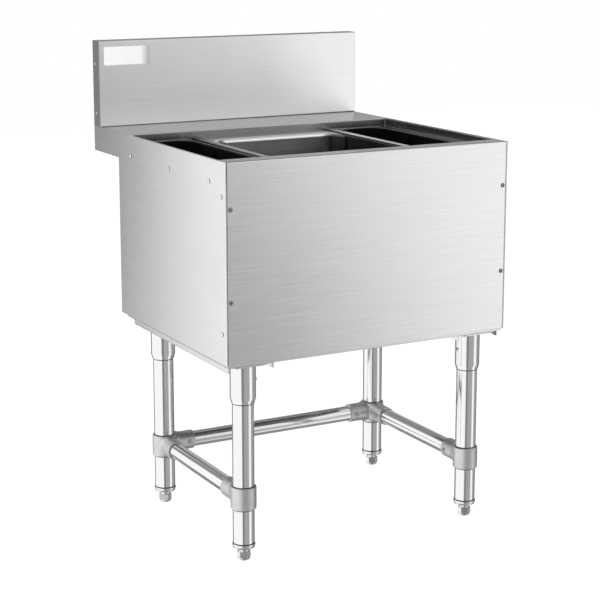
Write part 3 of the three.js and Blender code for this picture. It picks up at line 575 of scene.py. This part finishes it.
def tubSkin(t, out):
    quarter = np.linspace(0, math.pi / 2, 9)
    wall = t["wall"] * out
    level, sumpLevel, rim = t["floor"] - wall, t["sumpFloor"] - wall, t["top"] - wall
    sump, lip = t["sump"] + wall, t["sumpRound"] / 2
    floorLoop = loop(t["area"], t["corner"], level, -t["cove"])
    sumpRows = [(t["hole"], sumpLevel), (sump - t["sumpRound"], sumpLevel)]
    for angle in quarter[2::2]:
        rise = t["sumpRound"] * (1 - math.cos(angle))
        sumpRows.append((sump - t["sumpRound"] * (1 - math.sin(angle)), sumpLevel + rise))
    for angle in quarter[::2]:
        sumpRows.append((sump + lip * (1 - math.cos(angle)), level - lip * (1 - math.sin(angle))))
    rows = [circleUnder(floorLoop, t["drain"], radius, z) for radius, z in sumpRows]
    for angle in quarter:
        inset = (t["cove"] + wall) * (1 - math.sin(angle)) - wall
        z = level + (t["cove"] + wall) * (1 - math.cos(angle))
        rows.append(loop(t["area"], t["corner"] - inset, z, -inset))
    # The roll turns over late at the sides, and at the rear it stands up in a low bead: lift = bead sin^2
    # over the roll and bead cos^2 behind it, from nothing at the bead's ends
    sideInner, rearInner = t["sideRoll"] - wall, t["rearRoll"] - wall

    def beaded(side, rear, z, lift):
        points = loop(t["area"], t["corner"] + side, z, (side, side, rear))
        share = np.clip((points[:, 1] - t["beadEnds"][0]) / (t["beadEnds"][1] - t["beadEnds"][0]), 0, 1)
        points[:, 2] += t["bead"] * lift * share**2 * (3 - 2 * share)
        return points

    for angle in quarter:
        turn = 1 - (1 - math.cos(angle)) ** 3
        side = t["sideRoll"] - (sideInner if out else t["sideRoll"]) * turn
        rear = t["rearRoll"] - (rearInner if out else t["rearRoll"]) * math.cos(angle)
        z = t["top"] - t["rearRise"] + (t["rearRise"] - wall) * math.sin(angle)
        rows.append(beaded(side, rear, z, math.sin(angle) ** 2))
    for angle in quarter[2::2]:
        share = angle / quarter[-1]
        rear = t["rearRoll"] + t["beadWidth"] * angle / quarter[-1]
        rows.append(beaded(t["sideRoll"] + share, rear, rim, math.cos(angle) ** 2))
    return [*rows, loop(t["flange"], t["flangeCorner"], rim)]


tubRows = np.stack(tubSkin(tub, 0) + tubSkin(tub, 1)[::-1])
piece("ice_tub", [surface(tubRows, closeRows=True)], linerSteel, brushed, ["ice_liner"])

# Partition caps: a folded section pushed along Y
cap = {
    "inner": 147.9, "outer": 164.4, "top": 751.0, "seat": 748.0, "wall": 1.2, "shoulder": 1.0,
    "front": 41.5, "rear": 443.0,
}
for name, sign in signOf.items():
    half = cap["wall"] / 2
    inner, outer, crown = sign * (cap["inner"] + half), sign * (cap["outer"] - half), cap["top"] - half
    middle = [(inner, cap["seat"]), (inner, crown), (outer, crown), (outer, cap["seat"])]
    rows = pushed(foldedSection(middle, cap["wall"], cap["shoulder"]), "y", cap["front"], cap["rear"])
    bar = [surface(rows, capped=True)]
    piece(name + "_cap", bar, capSteel[name], brushed, [name + "_partition_cap"])

# Bottle wells: rows of rounded rectangles down the outside and up the inside, and a web as a slab whose
# upper edge is an arc: z = top - sag (1 - u u), its width following the drafted walls
bottleTub = {
    "inner": 169.8, "outer": 278.2, "front": 48.0, "rear": 438.0, "top": 748.0, "depth": 250.0,
    "corner": 42.0, "wall": 2.5, "flange": 5.3, "draft": 5.0, "foot": 8.0,
    "webs": (180.6, 305.4), "webWall": 3.0, "webDrop": 3.5, "scoop": 21.0,
}


def wellSurfaces(w, area):
    quarter = np.linspace(0, math.pi / 2, 7)
    foot = w["top"] - w["depth"]
    under = w["top"] - w["wall"]
    easing = w["wall"] / 3
    mouth = w["flange"] + w["wall"] - easing

    def skin(inset, z):
        return loop(area, w["corner"] - inset, z, -inset, 12, 8)

    def base(wall):
        inset = w["flange"] + w["draft"] + wall
        falls = [(w["foot"] * (1 - math.sin(a)), w["foot"] * (1 - math.cos(a))) for a in quarter]
        return [skin(inset + across, foot + wall + up) for across, up in falls]

    rows = [
        *base(0), skin(w["flange"], under), skin(0, under),
        *[skin(easing * (1 - math.cos(a)), w["top"] - easing * (1 - math.sin(a))) for a in quarter[::2]],
        *[skin(mouth + easing * math.sin(a), w["top"] - easing * 2 * (1 - math.cos(a))) for a in quarter[::2]],
        *base(w["wall"])[::-1],
    ]
    middle = (area[0] + area[1]) / 2
    half = (area[1] - area[0]) / 2
    u = np.linspace(-1, 1, 33)[:, None]
    top = w["top"] - w["webDrop"] - w["scoop"] * (1 - u**2)
    bottom = foot + w["wall"] / 2
    nose = np.linspace(0, math.pi, 9)
    nosing = w["webWall"] / 2
    depthAcross = np.concatenate([[-nosing] * 6, -nosing * np.cos(nose)[1:-1], [nosing] * 6])
    share = np.concatenate([np.linspace(0, 1, 6), np.ones(7), np.linspace(1, 0, 6)])
    bulge = np.concatenate([np.zeros(6), nosing * np.sin(nose)[1:-1], np.zeros(6)])
    z = bottom + (top - nosing - bottom) * share + bulge
    level = np.clip((z - foot) / (under - foot), 0, 1)
    inset = w["flange"] + w["draft"] * (1 - level) + w["wall"] / 2
    inset += w["foot"] * (1 - np.sqrt(1 - np.clip((foot + w["foot"] - z) / w["foot"], 0, 1) ** 2))
    x = middle + u * (half - inset)
    webs = [surface(np.stack([x, y + depthAcross + 0 * x, z], -1), capped=True) for y in w["webs"]]
    return [surface(np.stack(rows), capped=True), *webs]


for name, sign in signOf.items():
    x0, x1 = sorted((sign * bottleTub["inner"], sign * bottleTub["outer"]))
    well = wellSurfaces(bottleTub, (x0, x1, bottleTub["front"], bottleTub["rear"]))
    piece(name + "_well", well, blackAbs, "black_abs", [name + "_bottle_well"], crease=40)
foam = nodes["insulation_jacket"].data.materials
foam.clear()
foam.append(foamCells)
print("tub, caps and wells made")

# Drain: a threaded tail, its nut and the strainer
drain = {
    "place": (0.0, 222.0, 0.0), "bore": 13.3, "radius": 16.7, "flange": 30.0,
    "flangeWall": 2.0, "end": 345.0, "seat": 431.0, "threadPitch": 2.3, "threadDepth": 0.5,
    "threadStep": 0.4, "nutFlats": 46.0, "nutBore": 17.0, "nutBottom": 376.0, "nutTop": 388.0,
    "nutEase": [(3.0, 0.0), (1.4, 0.8), (0.0, 2.0)],
}


# Thread: radius = r - depth |2 frac((z + pitch a / 2 pi) / pitch) - 1|, a helix on a grid of z and angle a
def threaded(radius, depth, pitch, rows, sides):
    angle = circle(sides)
    turns = (rows[:, None] + pitch * angle / tau) / pitch
    return polar(radius - depth * np.abs(2 * (turns % 1) - 1), angle, rows[:, None])


threadRows = np.arange(drain["end"] + 0.6, drain["seat"] - 1, drain["threadStep"])
thread = threaded(drain["radius"], drain["threadDepth"], drain["threadPitch"], threadRows, 48)
rest = rounded([
    (drain["radius"] - 0.5, drain["seat"] - 0.5), (drain["flange"], drain["seat"], 0.3),
    (drain["flange"], drain["seat"] + drain["flangeWall"], 0.8),
    (drain["bore"], drain["seat"] + drain["flangeWall"], 0.8), (drain["bore"], drain["end"], 0.3),
    (drain["radius"] - 0.6, drain["end"], 0.3),
], False)
tail = [surface(np.concatenate([thread, turned(rest, 48)]) + drain["place"], closeRows=True)]
piece("drain_tail_threaded", tail, platedSteel, "plated_steel", ["drain_tail"])


# Hexagon: distance to the flat = half width / cos(a - middle of the flat), held inside a turned profile
def hexagonRows(width, limits, sides=72):
    angle = circle(sides)
    flat = (angle + math.pi / 6) % (math.pi / 3) - math.pi / 6
    limits = np.asarray(limits, float)
    radius = np.minimum(width / 2 / np.cos(flat), limits[:, :1])
    return polar(radius, angle, limits[:, 1:])


corner = drain["nutFlats"] / math.sqrt(3)
nutLimits = [(corner - inward, drain["nutBottom"] + up) for inward, up in drain["nutEase"]]
nutLimits += [(corner - inward, drain["nutTop"] - down) for inward, down in drain["nutEase"][::-1]]
nutBore = turned([(drain["nutBore"], drain["nutTop"]), (drain["nutBore"], drain["nutBottom"])], 72)
nutRows = np.concatenate([hexagonRows(drain["nutFlats"], nutLimits), nutBore]) + drain["place"]
piece("drain_lock_nut", [surface(nutRows, closeRows=True)], platedSteel, "plated_steel", ["drain_nut"])
copied("drain_strainer", sheetAcross, 40)
print("drain made")

# Legs: a socket welded under the channel, the tube, a cast connector, a foot and its insert at each corner
leg = {"x": 250.2, "front": 45.6, "rear": 408.8, "radius": 20.65, "wall": 1.6, "foot": 34.3, "top": 383.0}
setScrew = {"radius": 3.2, "ease": 0.6, "mouth": 0.55, "floor": 0.45, "hollow": 1.5, "tip": 1.8}
socket = {
    "bore": 21.0, "radius": 24.5, "mouth": 308.0, "taper": 9.0, "taperRound": 6.0,
    "top": 386.0, "plate": 70.0, "plateWall": 3.0, "plateCorner": 8.0, "plateEase": 0.6,
    "bead": 2.2, "ripples": 36, "ripple": 0.12, "rise": 4.0, "screwHeight": 349.0,
}
collar = {
    "radius": 24.5, "bore": 21.0, "bottom": 102.0, "top": 146.0, "round": 2.5, "brace": 125.5,
    "arm": 19.3, "armBore": 16.35, "armSeat": 23.0, "armRound": 1.4, "reach": 62.0,
    "braceStart": 25.7, "fillet": 5.0, "filletFade": 3.2, "filletMost": 2.4, "boss": 5.4,
    "bossRise": 0.9, "rise": 4.0, "screwFromEnd": 12.0,
}


# Set screw: a short rod turned round its axis, with an eased rim and a hollow for the key
def setScrewRows(s, base, top):
    corners = [
        (0, base), (s["radius"], base), (s["radius"], top, s["ease"]),
        (s["radius"] * s["mouth"], top, 0.2), (s["radius"] * s["floor"], top - s["hollow"]),
        (0, top - s["tip"]),
    ]
    return turned(rounded(corners, False), 24)


# Socket: a turned cup, a plate of rounded rectangles and a weld bead, a ring of radius
# bead (1 + ripple cos(n a)) round the angle a
def legSocket(s, inward):
    cup = rounded([
        (s["bore"], s["mouth"]), (s["bore"] + (s["radius"] - s["bore"]) / 4, s["mouth"], 0.5),
        (s["radius"], s["mouth"] + s["taper"], s["taperRound"]), (s["radius"], s["top"]),
        (s["bore"], s["top"]),
    ])
    half = s["plate"] / 2
    area = (-half, half, -half, half)
    under, ease = s["top"] - s["plateWall"], s["plateEase"]
    plate = [
        loop(area, s["plateCorner"] - ease, under, -ease),
        loop(area, s["plateCorner"], under + ease), loop(area, s["plateCorner"], s["top"] - ease),
        loop(area, s["plateCorner"] - ease, s["top"], -ease),
    ]
    around, across = circle(144), circle(10)[:, None]
    swell = s["bead"] * (1 + s["ripple"] * np.cos(s["ripples"] * around))
    reach = s["radius"] + swell * np.cos(across) * 0.9
    bead = polar(reach, around, under + 0.5 + swell * np.sin(across))
    screw = laid(setScrewRows(setScrew, s["bore"], s["radius"] + s["rise"]), "x", inward)
    return [
        surface(turned(cup), closeRows=True), surface(np.stack(plate), capped=True),
        surface(bead, closeRows=True), surface(screw + (0, 0, s["screwHeight"])),
    ]


# Arm of a casting: radius = arm + fillet exp(-(s - collar) / fade) along its length s, so that it flares
# into the collar; it starts inside the collar's own round, s = sqrt(R R - (r sin a)^2)
def castArm(c, axis, sign):
    angle = circle(64)
    share = np.concatenate([[0], np.linspace(0, 1, 22) ** 1.3 * 0.999 + 0.001])[:, None]
    start = np.sqrt(np.maximum(c["armSeat"] ** 2 - (c["arm"] * np.sin(angle)) ** 2, 1))
    end = c["reach"] - 1.5
    along = start + (end - start) * share
    clear = np.sqrt(np.maximum(c["radius"] ** 2 - (c["arm"] * np.sin(angle)) ** 2, 1))
    flare = c["fillet"] * np.exp(-np.maximum(along - clear, 0) / c["filletFade"])
    flare = flare * (np.abs(along - start) > 1e-6)
    radius = c["arm"] + np.minimum(flare, c["filletMost"])
    radius[0] = c["armBore"]
    outer = polar(radius, angle, along)
    mouth = [
        (c["arm"], end), (c["arm"], c["reach"], c["armRound"]), (c["armBore"], c["reach"], 0.5),
        (c["armBore"], c["braceStart"]),
    ]
    rows = np.concatenate([outer, turned(rounded(mouth, False)[1:], 64)])
    across, up, away = rows[..., 1], rows[..., 0], sign * rows[..., 2]
    return np.stack([away, across, up] if axis == "x" else [across, away, up], -1) + (0, 0, c["brace"])


# Connector: a turned ring, and for each brace an arm with a set screw in a low round boss
def braceConnector(c, arms):
    ring = rounded([
        (c["bore"], c["bottom"], 0.5), (c["radius"], c["bottom"], c["round"]),
        (c["radius"], c["top"], c["round"]), (c["bore"], c["top"], 0.5),
    ])
    made = [surface(turned(ring), closeRows=True)]
    base, crown = c["armBore"] + 1, c["arm"] + c["bossRise"]
    bossProfile = rounded([(0, base), (c["boss"], base), (c["boss"], crown, 0.8), (0, crown)], False)
    for axis, sign, face in arms:
        made.append(surface(castArm(c, axis, sign), closeRows=True))
        place = sign * (c["reach"] - c["screwFromEnd"])
        screw = setScrewRows(setScrew, c["armBore"], c["arm"] + c["rise"])
        boss = turned(bossProfile, 24)
        across = "y" if axis == "x" else "x"
        shift = (place, 0, c["brace"]) if axis == "x" else (0, place, c["brace"])
        made += [surface(laid(part, across, face) + shift) for part in (screw, boss)]
    return made


foot = {
    "width": 22.0, "base": 8.0, "heel": 6.0, "top": 18.0, "crown": (1.6, 1.4), "neck": 9.6,
    "neckTop": 24.7, "stem": 6.0, "stemTop": 75.0, "pitch": 2.0, "threadDepth": 0.45,
}
insert = {"bore": 6.35, "radius": 21.9, "round": 4.0, "bottom": 25.0, "top": 34.0, "shank": 18.7, "end": 62.0}


# Foot: a hexagon held inside a turned profile that rounds its lower edge, then neck and threaded stem
def adjustableFoot(f):
    reach = f["width"] / math.sqrt(3)
    inward, down = f["crown"]
    limits = [
        (0, 0), (f["base"], 0, 0.8), ((f["base"] + reach) / 2 + 0.6, 1.5, 3), (reach, f["heel"], 3),
        (reach, f["top"] - down, 0.6), (reach - inward, f["top"], 0.5), (0, f["top"]),
    ]
    neck = [
        (0, f["top"] - 0.5), (f["neck"] + 0.6, f["top"] - 0.5), (f["neck"], f["top"] + 1.2, 0.8),
        (f["neck"], f["neckTop"], 0.5), (0, f["neckTop"]),
    ]
    rows = np.arange(f["neckTop"] - 0.5, f["stemTop"] - 0.5, 0.5)
    return [
        surface(hexagonRows(f["width"], rounded(limits, False), 96)),
        surface(turned(rounded(neck, False), 48)),
        surface(threaded(f["stem"], f["threadDepth"], f["pitch"], rows, 32), capped=True),
    ]


# Insert: a turned profile, a rounded flange under the tube and a shank that fills it
def footInsert(i):
    profile = rounded([
        (i["bore"], i["bottom"], 0.4),
        (i["radius"] - i["round"] * 0.4, i["bottom"], i["round"] * 0.5),
        (i["radius"], i["bottom"] + i["round"] * 1.2, i["round"] * 0.8),
        (i["radius"], i["top"], 0.8), (i["shank"], i["top"]), (i["shank"], i["end"], 0.6),
        (i["bore"], i["end"]),
    ])
    return [surface(turned(profile), closeRows=True)]


# Painted shade where the tube leaves the socket, the collar and the foot's insert: 1 at the joint, 0 from its
# reach away
jointShadeReach = 2.2
tubeJoints = [(socket["mouth"], -1), (collar["top"], 1), (collar["bottom"], -1), (insert["top"] + 0.3, 1)]
tubeSteps = sorted(joint + side * away for joint, side in tubeJoints for away in (0.0, 1.2, jointShadeReach))
tubeProfile = rounded([
    (leg["radius"] - leg["wall"], leg["foot"]), (leg["radius"], leg["foot"]),
    *[(leg["radius"], z) for z in tubeSteps[1:]], (leg["radius"], leg["top"], 0.4),
    (leg["radius"] - leg["wall"], leg["top"]),
])


def jointShade(points):
    away = np.stack([side * (points[:, 2] - joint) for joint, side in tubeJoints])
    near = np.clip((jointShadeReach - away) / 1.0, 0, 1) * (away > -0.01)
    return near.max(0)


polished, cast = (tubeUpright, "polished_stainless"), (castCollar, "cast_aluminium")
plated = (platedSteel, "plated_steel")
for end in ("front", "rear"):
    for name, sign in signOf.items():
        corner = end + "_" + name
        arms = [("y", 1 if end == "front" else -1, -sign)]
        if end == "rear":
            arms.append(("x", -sign, -1))
        tube = [surface(turned(tubeProfile, 96), closeRows=True)]
        parts = [
            ("_socket", "_leg_socket", legSocket(socket, -sign), *polished, {}),
            ("_tube", "_leg_tube", tube, *polished, {"soil": jointShade}),
            ("_connector", "_brace_connector", braceConnector(collar, arms), *cast, {"crease": 50}),
            ("_insert", "_foot_insert", footInsert(insert), *plated, {}),
            ("_hex_foot", "_foot", adjustableFoot(foot), *plated, {"crease": 25}),
        ]
        for ending, node, surfaces, finish, slot, settings in parts:
            placed = [(points + (sign * leg["x"], leg[end], 0), faces) for points, faces in surfaces]
            piece(corner + ending, placed, finish, slot, [corner + node], **settings)
print("legs made")

# Braces: tubes along the sides and across the rear
brace = {"radius": 16.0, "wall": 1.5, "height": 125.5, "fromLeg": 26.0}


# Brace: a turned tube laid along its axis, short of both legs
def braceRows(b, start, end, axis, shift):
    profile = rounded([
        (b["radius"] - b["wall"], start + b["fromLeg"]), (b["radius"], start + b["fromLeg"], 0.4),
        (b["radius"], end - b["fromLeg"], 0.4), (b["radius"] - b["wall"], end - b["fromLeg"]),
    ])
    return surface(laid(turned(profile, 80), axis) + shift, closeRows=True)


for name, sign in signOf.items():
    bar = braceRows(brace, leg["front"], leg["rear"], "y", (sign * leg["x"], 0, brace["height"]))
    piece(name + "_side_brace", [bar], tubeUpright, "polished_stainless", [name + "_brace"])
bar = braceRows(brace, -leg["x"], leg["x"], "x", (0, leg["rear"], brace["height"]))
piece("rear_cross_brace", [bar], tubeUpright, "polished_stainless", ["rear_brace"])

# Leg channels under the pan: a folded section pushed along Y
channel = {"width": 93.0, "height": 11.4, "sheet": 2.0, "fold": 1.0, "top": 388.0, "front": 10.0, "rear": 444.5}
reach = (channel["width"] - channel["sheet"]) / 2
crown = channel["top"] - channel["sheet"] / 2
edge = channel["top"] - channel["height"]
for name, sign in signOf.items():
    section = [(-reach, edge), (-reach, crown), (reach, crown), (reach, edge)]
    middle = [(sign * leg["x"] + across, z) for across, z in section]
    folded = foldedSection(middle, channel["sheet"], channel["fold"])
    bar = [surface(pushed(folded, "y", channel["front"], channel["rear"]), capped=True)]
    piece(name + "_channel", bar, panSteel, brushed, [name + "_leg_channel"])
print("braces and channels made")

# Fasteners: domed heads on plain shanks. A screw has a cross-shaped hollow that fades at its arms' ends, and
# a rivet a round one with a low dome in it
screwHead = {
    "radius": 4.6, "height": 2.2, "shank": 2.1, "length": 9.0, "slot": 0.7, "slotEdge": 0.3,
    "slotReach": 2.9, "slotFade": 1.2, "slotDepth": 1.5, "ring": 0.8, "x": 294.8,
    "places": {"lower": 510.0, "upper": 680.0},
}
rivetHead = {
    "radius": 4.4,
    "height": 1.6,
    "shank": 2.0,
    "length": 7.0,
    "pin": 1.3,
    "pinDepth": 0.5,
    "pinEdge": 0.3,
    "dome": 0.8,
    "domeRise": 0.3,
    "ring": 0.86,
    "x": 304.8,
    "places": {
        "upper_front": (67.0, 724.0),
        "upper_middle": (245.0, 724.0),
        "upper_rear": (429.0, 724.0),
        "edge_lower": (17.2, 449.5),
        "edge_upper": (17.2, 702.0),
    },
}


# Head: height over the sheet = h sqrt(1 - s^2.6) - hollow, with s from 0 in the middle to 1 at the rim
def domedHead(h, hollow):
    angle = circle(48)
    share = np.concatenate([np.linspace(0, 0.9, 14), [0.94, 0.97, 0.99, 1.0]])[:, None]
    radius = h["radius"] * share + 0 * angle
    height = h["height"] * np.sqrt(np.maximum(1 - share**2.6, 0)) + 0 * angle - hollow(h, radius, angle)
    top = polar(radius, angle, height)
    under = turned([(h["radius"], 0), (h["shank"], 0), (h["shank"], -h["length"]), (0, -h["length"])], 48)
    return surface(np.concatenate([top[:-1], under])[::-1])


def crossHollow(h, radius, angle):
    x, y = np.abs(radius * np.cos(angle)), np.abs(radius * np.sin(angle))
    inside = np.clip((h["slot"] - np.minimum(x, y)) / h["slotEdge"], 0, 1)
    fade = np.clip((h["slotReach"] - np.maximum(x, y)) / h["slotFade"], 0, 1)
    return h["slotDepth"] * inside * fade


def pinHollow(h, radius, angle):
    hollow = h["pinDepth"] * np.clip((h["pin"] - radius) / h["pinEdge"], 0, 1)
    return hollow - h["domeRise"] * np.clip((h["dome"] - radius) / h["pinEdge"], 0, 1) + 0 * angle


# Painted shade: 1 in the outer ring of a head and, on a screw, in its cross; 0 on the rest
def paintedShadeRound(h, spot, axes):
    def share(points):
        u, v = (points[:, axis] - spot[axis] for axis in axes)
        away = np.hypot(u, v)
        rim = np.clip((away / h["radius"] - h["ring"]) / 0.08, 0, 1)
        if "slot" not in h:
            return rim
        inside = np.clip((h["slot"] + 0.2 - np.minimum(np.abs(u), np.abs(v))) / 0.2, 0, 1)
        return np.maximum(rim, inside * (away < h["slotReach"]))

    return share


screwShape, rivetShape = domedHead(screwHead, crossHollow), domedHead(rivetHead, pinHollow)
for name, sign in signOf.items():
    for level, z in screwHead["places"].items():
        spot = (sign * screwHead["x"], 0, z)
        ending = "screw_" + level + "_" + name
        head = [(laid(screwShape[0], "y", -1) + spot, screwShape[1])]
        soil = paintedShadeRound(screwHead, spot, (0, 2))
        piece(ending, head, screwSteel, "plated_steel", ["front_" + ending], crease=60, soil=soil)
    for mark, (y, z) in rivetHead["places"].items():
        spot = (sign * rivetHead["x"], y, z)
        head = [(laid(rivetShape[0], "x", sign) + spot, rivetShape[1])]
        soil = paintedShadeRound(rivetHead, spot, (1, 2))
        made = name + "_rivet_head_" + mark
        piece(made, head, rivetSteel, "plated_steel", [name + "_rivet_" + mark], crease=60, soil=soil)
print("fasteners made")

# Floor: white to the camera, with part of its diffuse light kept so that the legs leave a faint shadow.
# Metal meets the cards instead, which reach below the floor's edge.
floorLook = {"tone": "#f4f4f4", "shadowTone": "#959595", "glow": 0.9, "size": 12.0}
floorFinish, tree = blank("Studio floor, white paper")
plain = add(tree, "BsdfDiffuse", {"Color": linear(floorLook["tone"])}).outputs[0]
faint = add(tree, "BsdfDiffuse", {"Color": linear(floorLook["shadowTone"])}).outputs[0]
glow = add(tree, "Emission", {"Color": (1, 1, 1, 1), "Strength": floorLook["glow"]}).outputs[0]
lit = add(tree, "AddShader", {0: faint, 1: glow}).outputs[0]
path = add(tree, "LightPath").outputs
seen = reckon(tree, "MAXIMUM", path["Is Camera Ray"], path["Is Glossy Ray"])
shown = reckon(tree, "MAXIMUM", seen, path["Is Transmission Ray"])
finished(floorFinish, {0: shown, 1: plain, 2: lit}, "MixShader")
floorCorners = floorLook["size"] / 2 * np.array([(-1, -1, 0), (1, -1, 0), (1, 1, 0), (-1, 1, 0)])
floorMesh = meshOf("studio_floor", floorCorners, [(0, 1, 2, 3)])
floorMesh.materials.append(floorFinish)
floor = inScene("studio_floor", floorMesh)
floor.visible_glossy = False

# Studio: a white room with grey cards round it, where the sheet and the tubes show grey. The value of a card
# runs through its stops of bearing (degrees from straight ahead of the front panel, + to the right) times
# those of elevation; the camera looks past the cards, and metal and diffuse light meet them
cardRadius = 12.0
leanLook = {"from": -15, "to": 5, "level": -8}
cardLook = {
    "middle_card": {
        "bearings": [
            *[(-50, 1.15), (-43, 1.0), (-40, 0.24), (-27, 0.24), (-20, 0.42), (12, 0.46), (20, 0.42)],
            *[(24.3, 0.45), (27.3, 0.65), (30.4, 0.86), (33.3, 1.02), (36, 1.14), (40, 1.15), (52, 1.15)],
            *[(60, 0.6), (67, 0.34)],
        ],
        "elevations": [(-50, 1.0), (5, 1.0), (12, 0.85), (48, 0.8)],
        "lean": 0.65,
    },
    "rear_card": {
        "bearings": [
            *[(67, 0.34), (98, 0.4), (108, 0.16), (150, 0.2), (160, 0.32), (202.4, 0.28), (203.6, 0.34)],
            *[(205, 0.74), (206.2, 1.04), (207.6, 1.2)],
        ],
        "elevations": [(-50, 1.0), (48, 1.0)],
    },
    "rear_strip": {
        "bearings": [(136, 0.25), (142, 0.8), (159, 0.8), (164, 0.25)],
        "elevations": [(8.5, 0.3), (10, 1.0), (16, 1.0), (20, 0.3)],
        "nearer": 0.2,
    },
    "left_card": {
        "bearings": [(207.6, 1.2), (212, 1.15), (310, 1.15)],
        "elevations": [(-50, 1.0), (48, 1.0)],
    },
    "ground_card": {
        "bearings": [(-180, 1.0), (180, 1.0)],
        "elevations": [(-89, 0.3), (-56, 0.3), (-50, 0.7)],
    },
    "ceiling_card": {
        "bearings": [(-180, 0.5), (40, 0.5), (60, 1.0), (95, 1.0), (115, 0.5), (180, 0.5)],
        "elevations": [(48, 0.4), (52, 0.4), (57, 1.25), (64, 1.25), (72, 0.8), (89, 0.8)],
    },
}


# Card: x = r cos e sin b, y = -r cos e cos b, z = r sin e over a grid of bearing b and elevation e; where
# it leans, its stops stand further to the left the higher they are, by lean degrees for each degree
def studioCard(name, look):
    bearings, elevations = np.array(look["bearings"], float), np.array(look["elevations"], float)
    bearing = np.linspace(bearings[0, 0], bearings[-1, 0], 181)
    elevation = np.linspace(elevations[0, 0], elevations[-1, 0], 25)[:, None]
    climb = np.clip(elevation, leanLook["from"], leanLook["to"]) - leanLook["level"]
    leaning = bearing + look.get("lean", 0) * climb
    value = np.interp(leaning, *bearings.T) * np.interp(elevation, *elevations.T)
    b, e = np.radians(bearing), np.radians(elevation)
    ray = np.stack([np.cos(e) * np.sin(b), -np.cos(e) * np.cos(b), np.sin(e) + 0 * b], -1)
    points, faces = surface((cardRadius - look.get("nearer", 0)) * ray, closeColumns=False)
    mesh = meshOf(name, points, faces)
    attribute(mesh, "value", value.ravel())
    finish, tree = blank("Studio card, lit paper, " + name.replace("_", " "))
    level = add(tree, "Attribute", attribute_name="value").outputs["Fac"]
    finished(finish, {"Color": (1, 1, 1, 1), "Strength": level}, "Emission")
    mesh.materials.append(finish)
    card = inScene(name, mesh)
    card.visible_camera = card.visible_transmission = False


for name, look in cardLook.items():
    studioCard(name, look)
world = bpy.context.scene.world = bpy.data.worlds.new("white studio")
world.use_nodes = True
tree = world.node_tree
tree.nodes.clear()
sky = add(tree, "Background", {"Color": (1, 1, 1, 1), "Strength": 1.0})
add(tree, "OutputWorld", {"Surface": sky.outputs[0]})

# One wide soft lamp overhead and to the left, for the faint shadow under the legs
lampLook = {"place": (-1.2, -3.2, 2.9), "aim": (0.0, 0.2, 0.6), "size": 2.0, "power": 100.0}
lamp = bpy.data.lights.new("overhead softbox", "AREA")
lamp.size = lampLook["size"]
lamp.energy = lampLook["power"]
lampObject = inScene("overhead softbox", lamp)
lampObject.location = lampLook["place"]
toObject = Vector(lampLook["aim"]) - Vector(lampLook["place"])
lampObject.rotation_euler = toObject.to_track_quat("-Z", "Y").to_euler()
lampObject.visible_glossy = False

# Camera fitted to the photograph's vanishing lines
cameraLook = {
    "place": (-1.5624, -2.8898, 1.1806), "yaw": 0.4995, "pitch": 0.1907, "lens": 98.51,
    "sensor": 36, "shift": -0.1, "near": 0.05,
}
camera = bpy.data.cameras.new("photo view")
camera.sensor_width = cameraLook["sensor"]
camera.lens = cameraLook["lens"]
camera.shift_y = cameraLook["shift"]
camera.clip_start = cameraLook["near"]
viewer = inScene("photo view", camera)
viewer.location = cameraLook["place"]
viewer.rotation_euler = (math.pi / 2 - cameraLook["pitch"], 0, -cameraLook["yaw"])
bpy.context.scene.camera = viewer
bpy.context.scene.view_settings.view_transform = "Standard"
print("floor, cards, lamp and camera set")
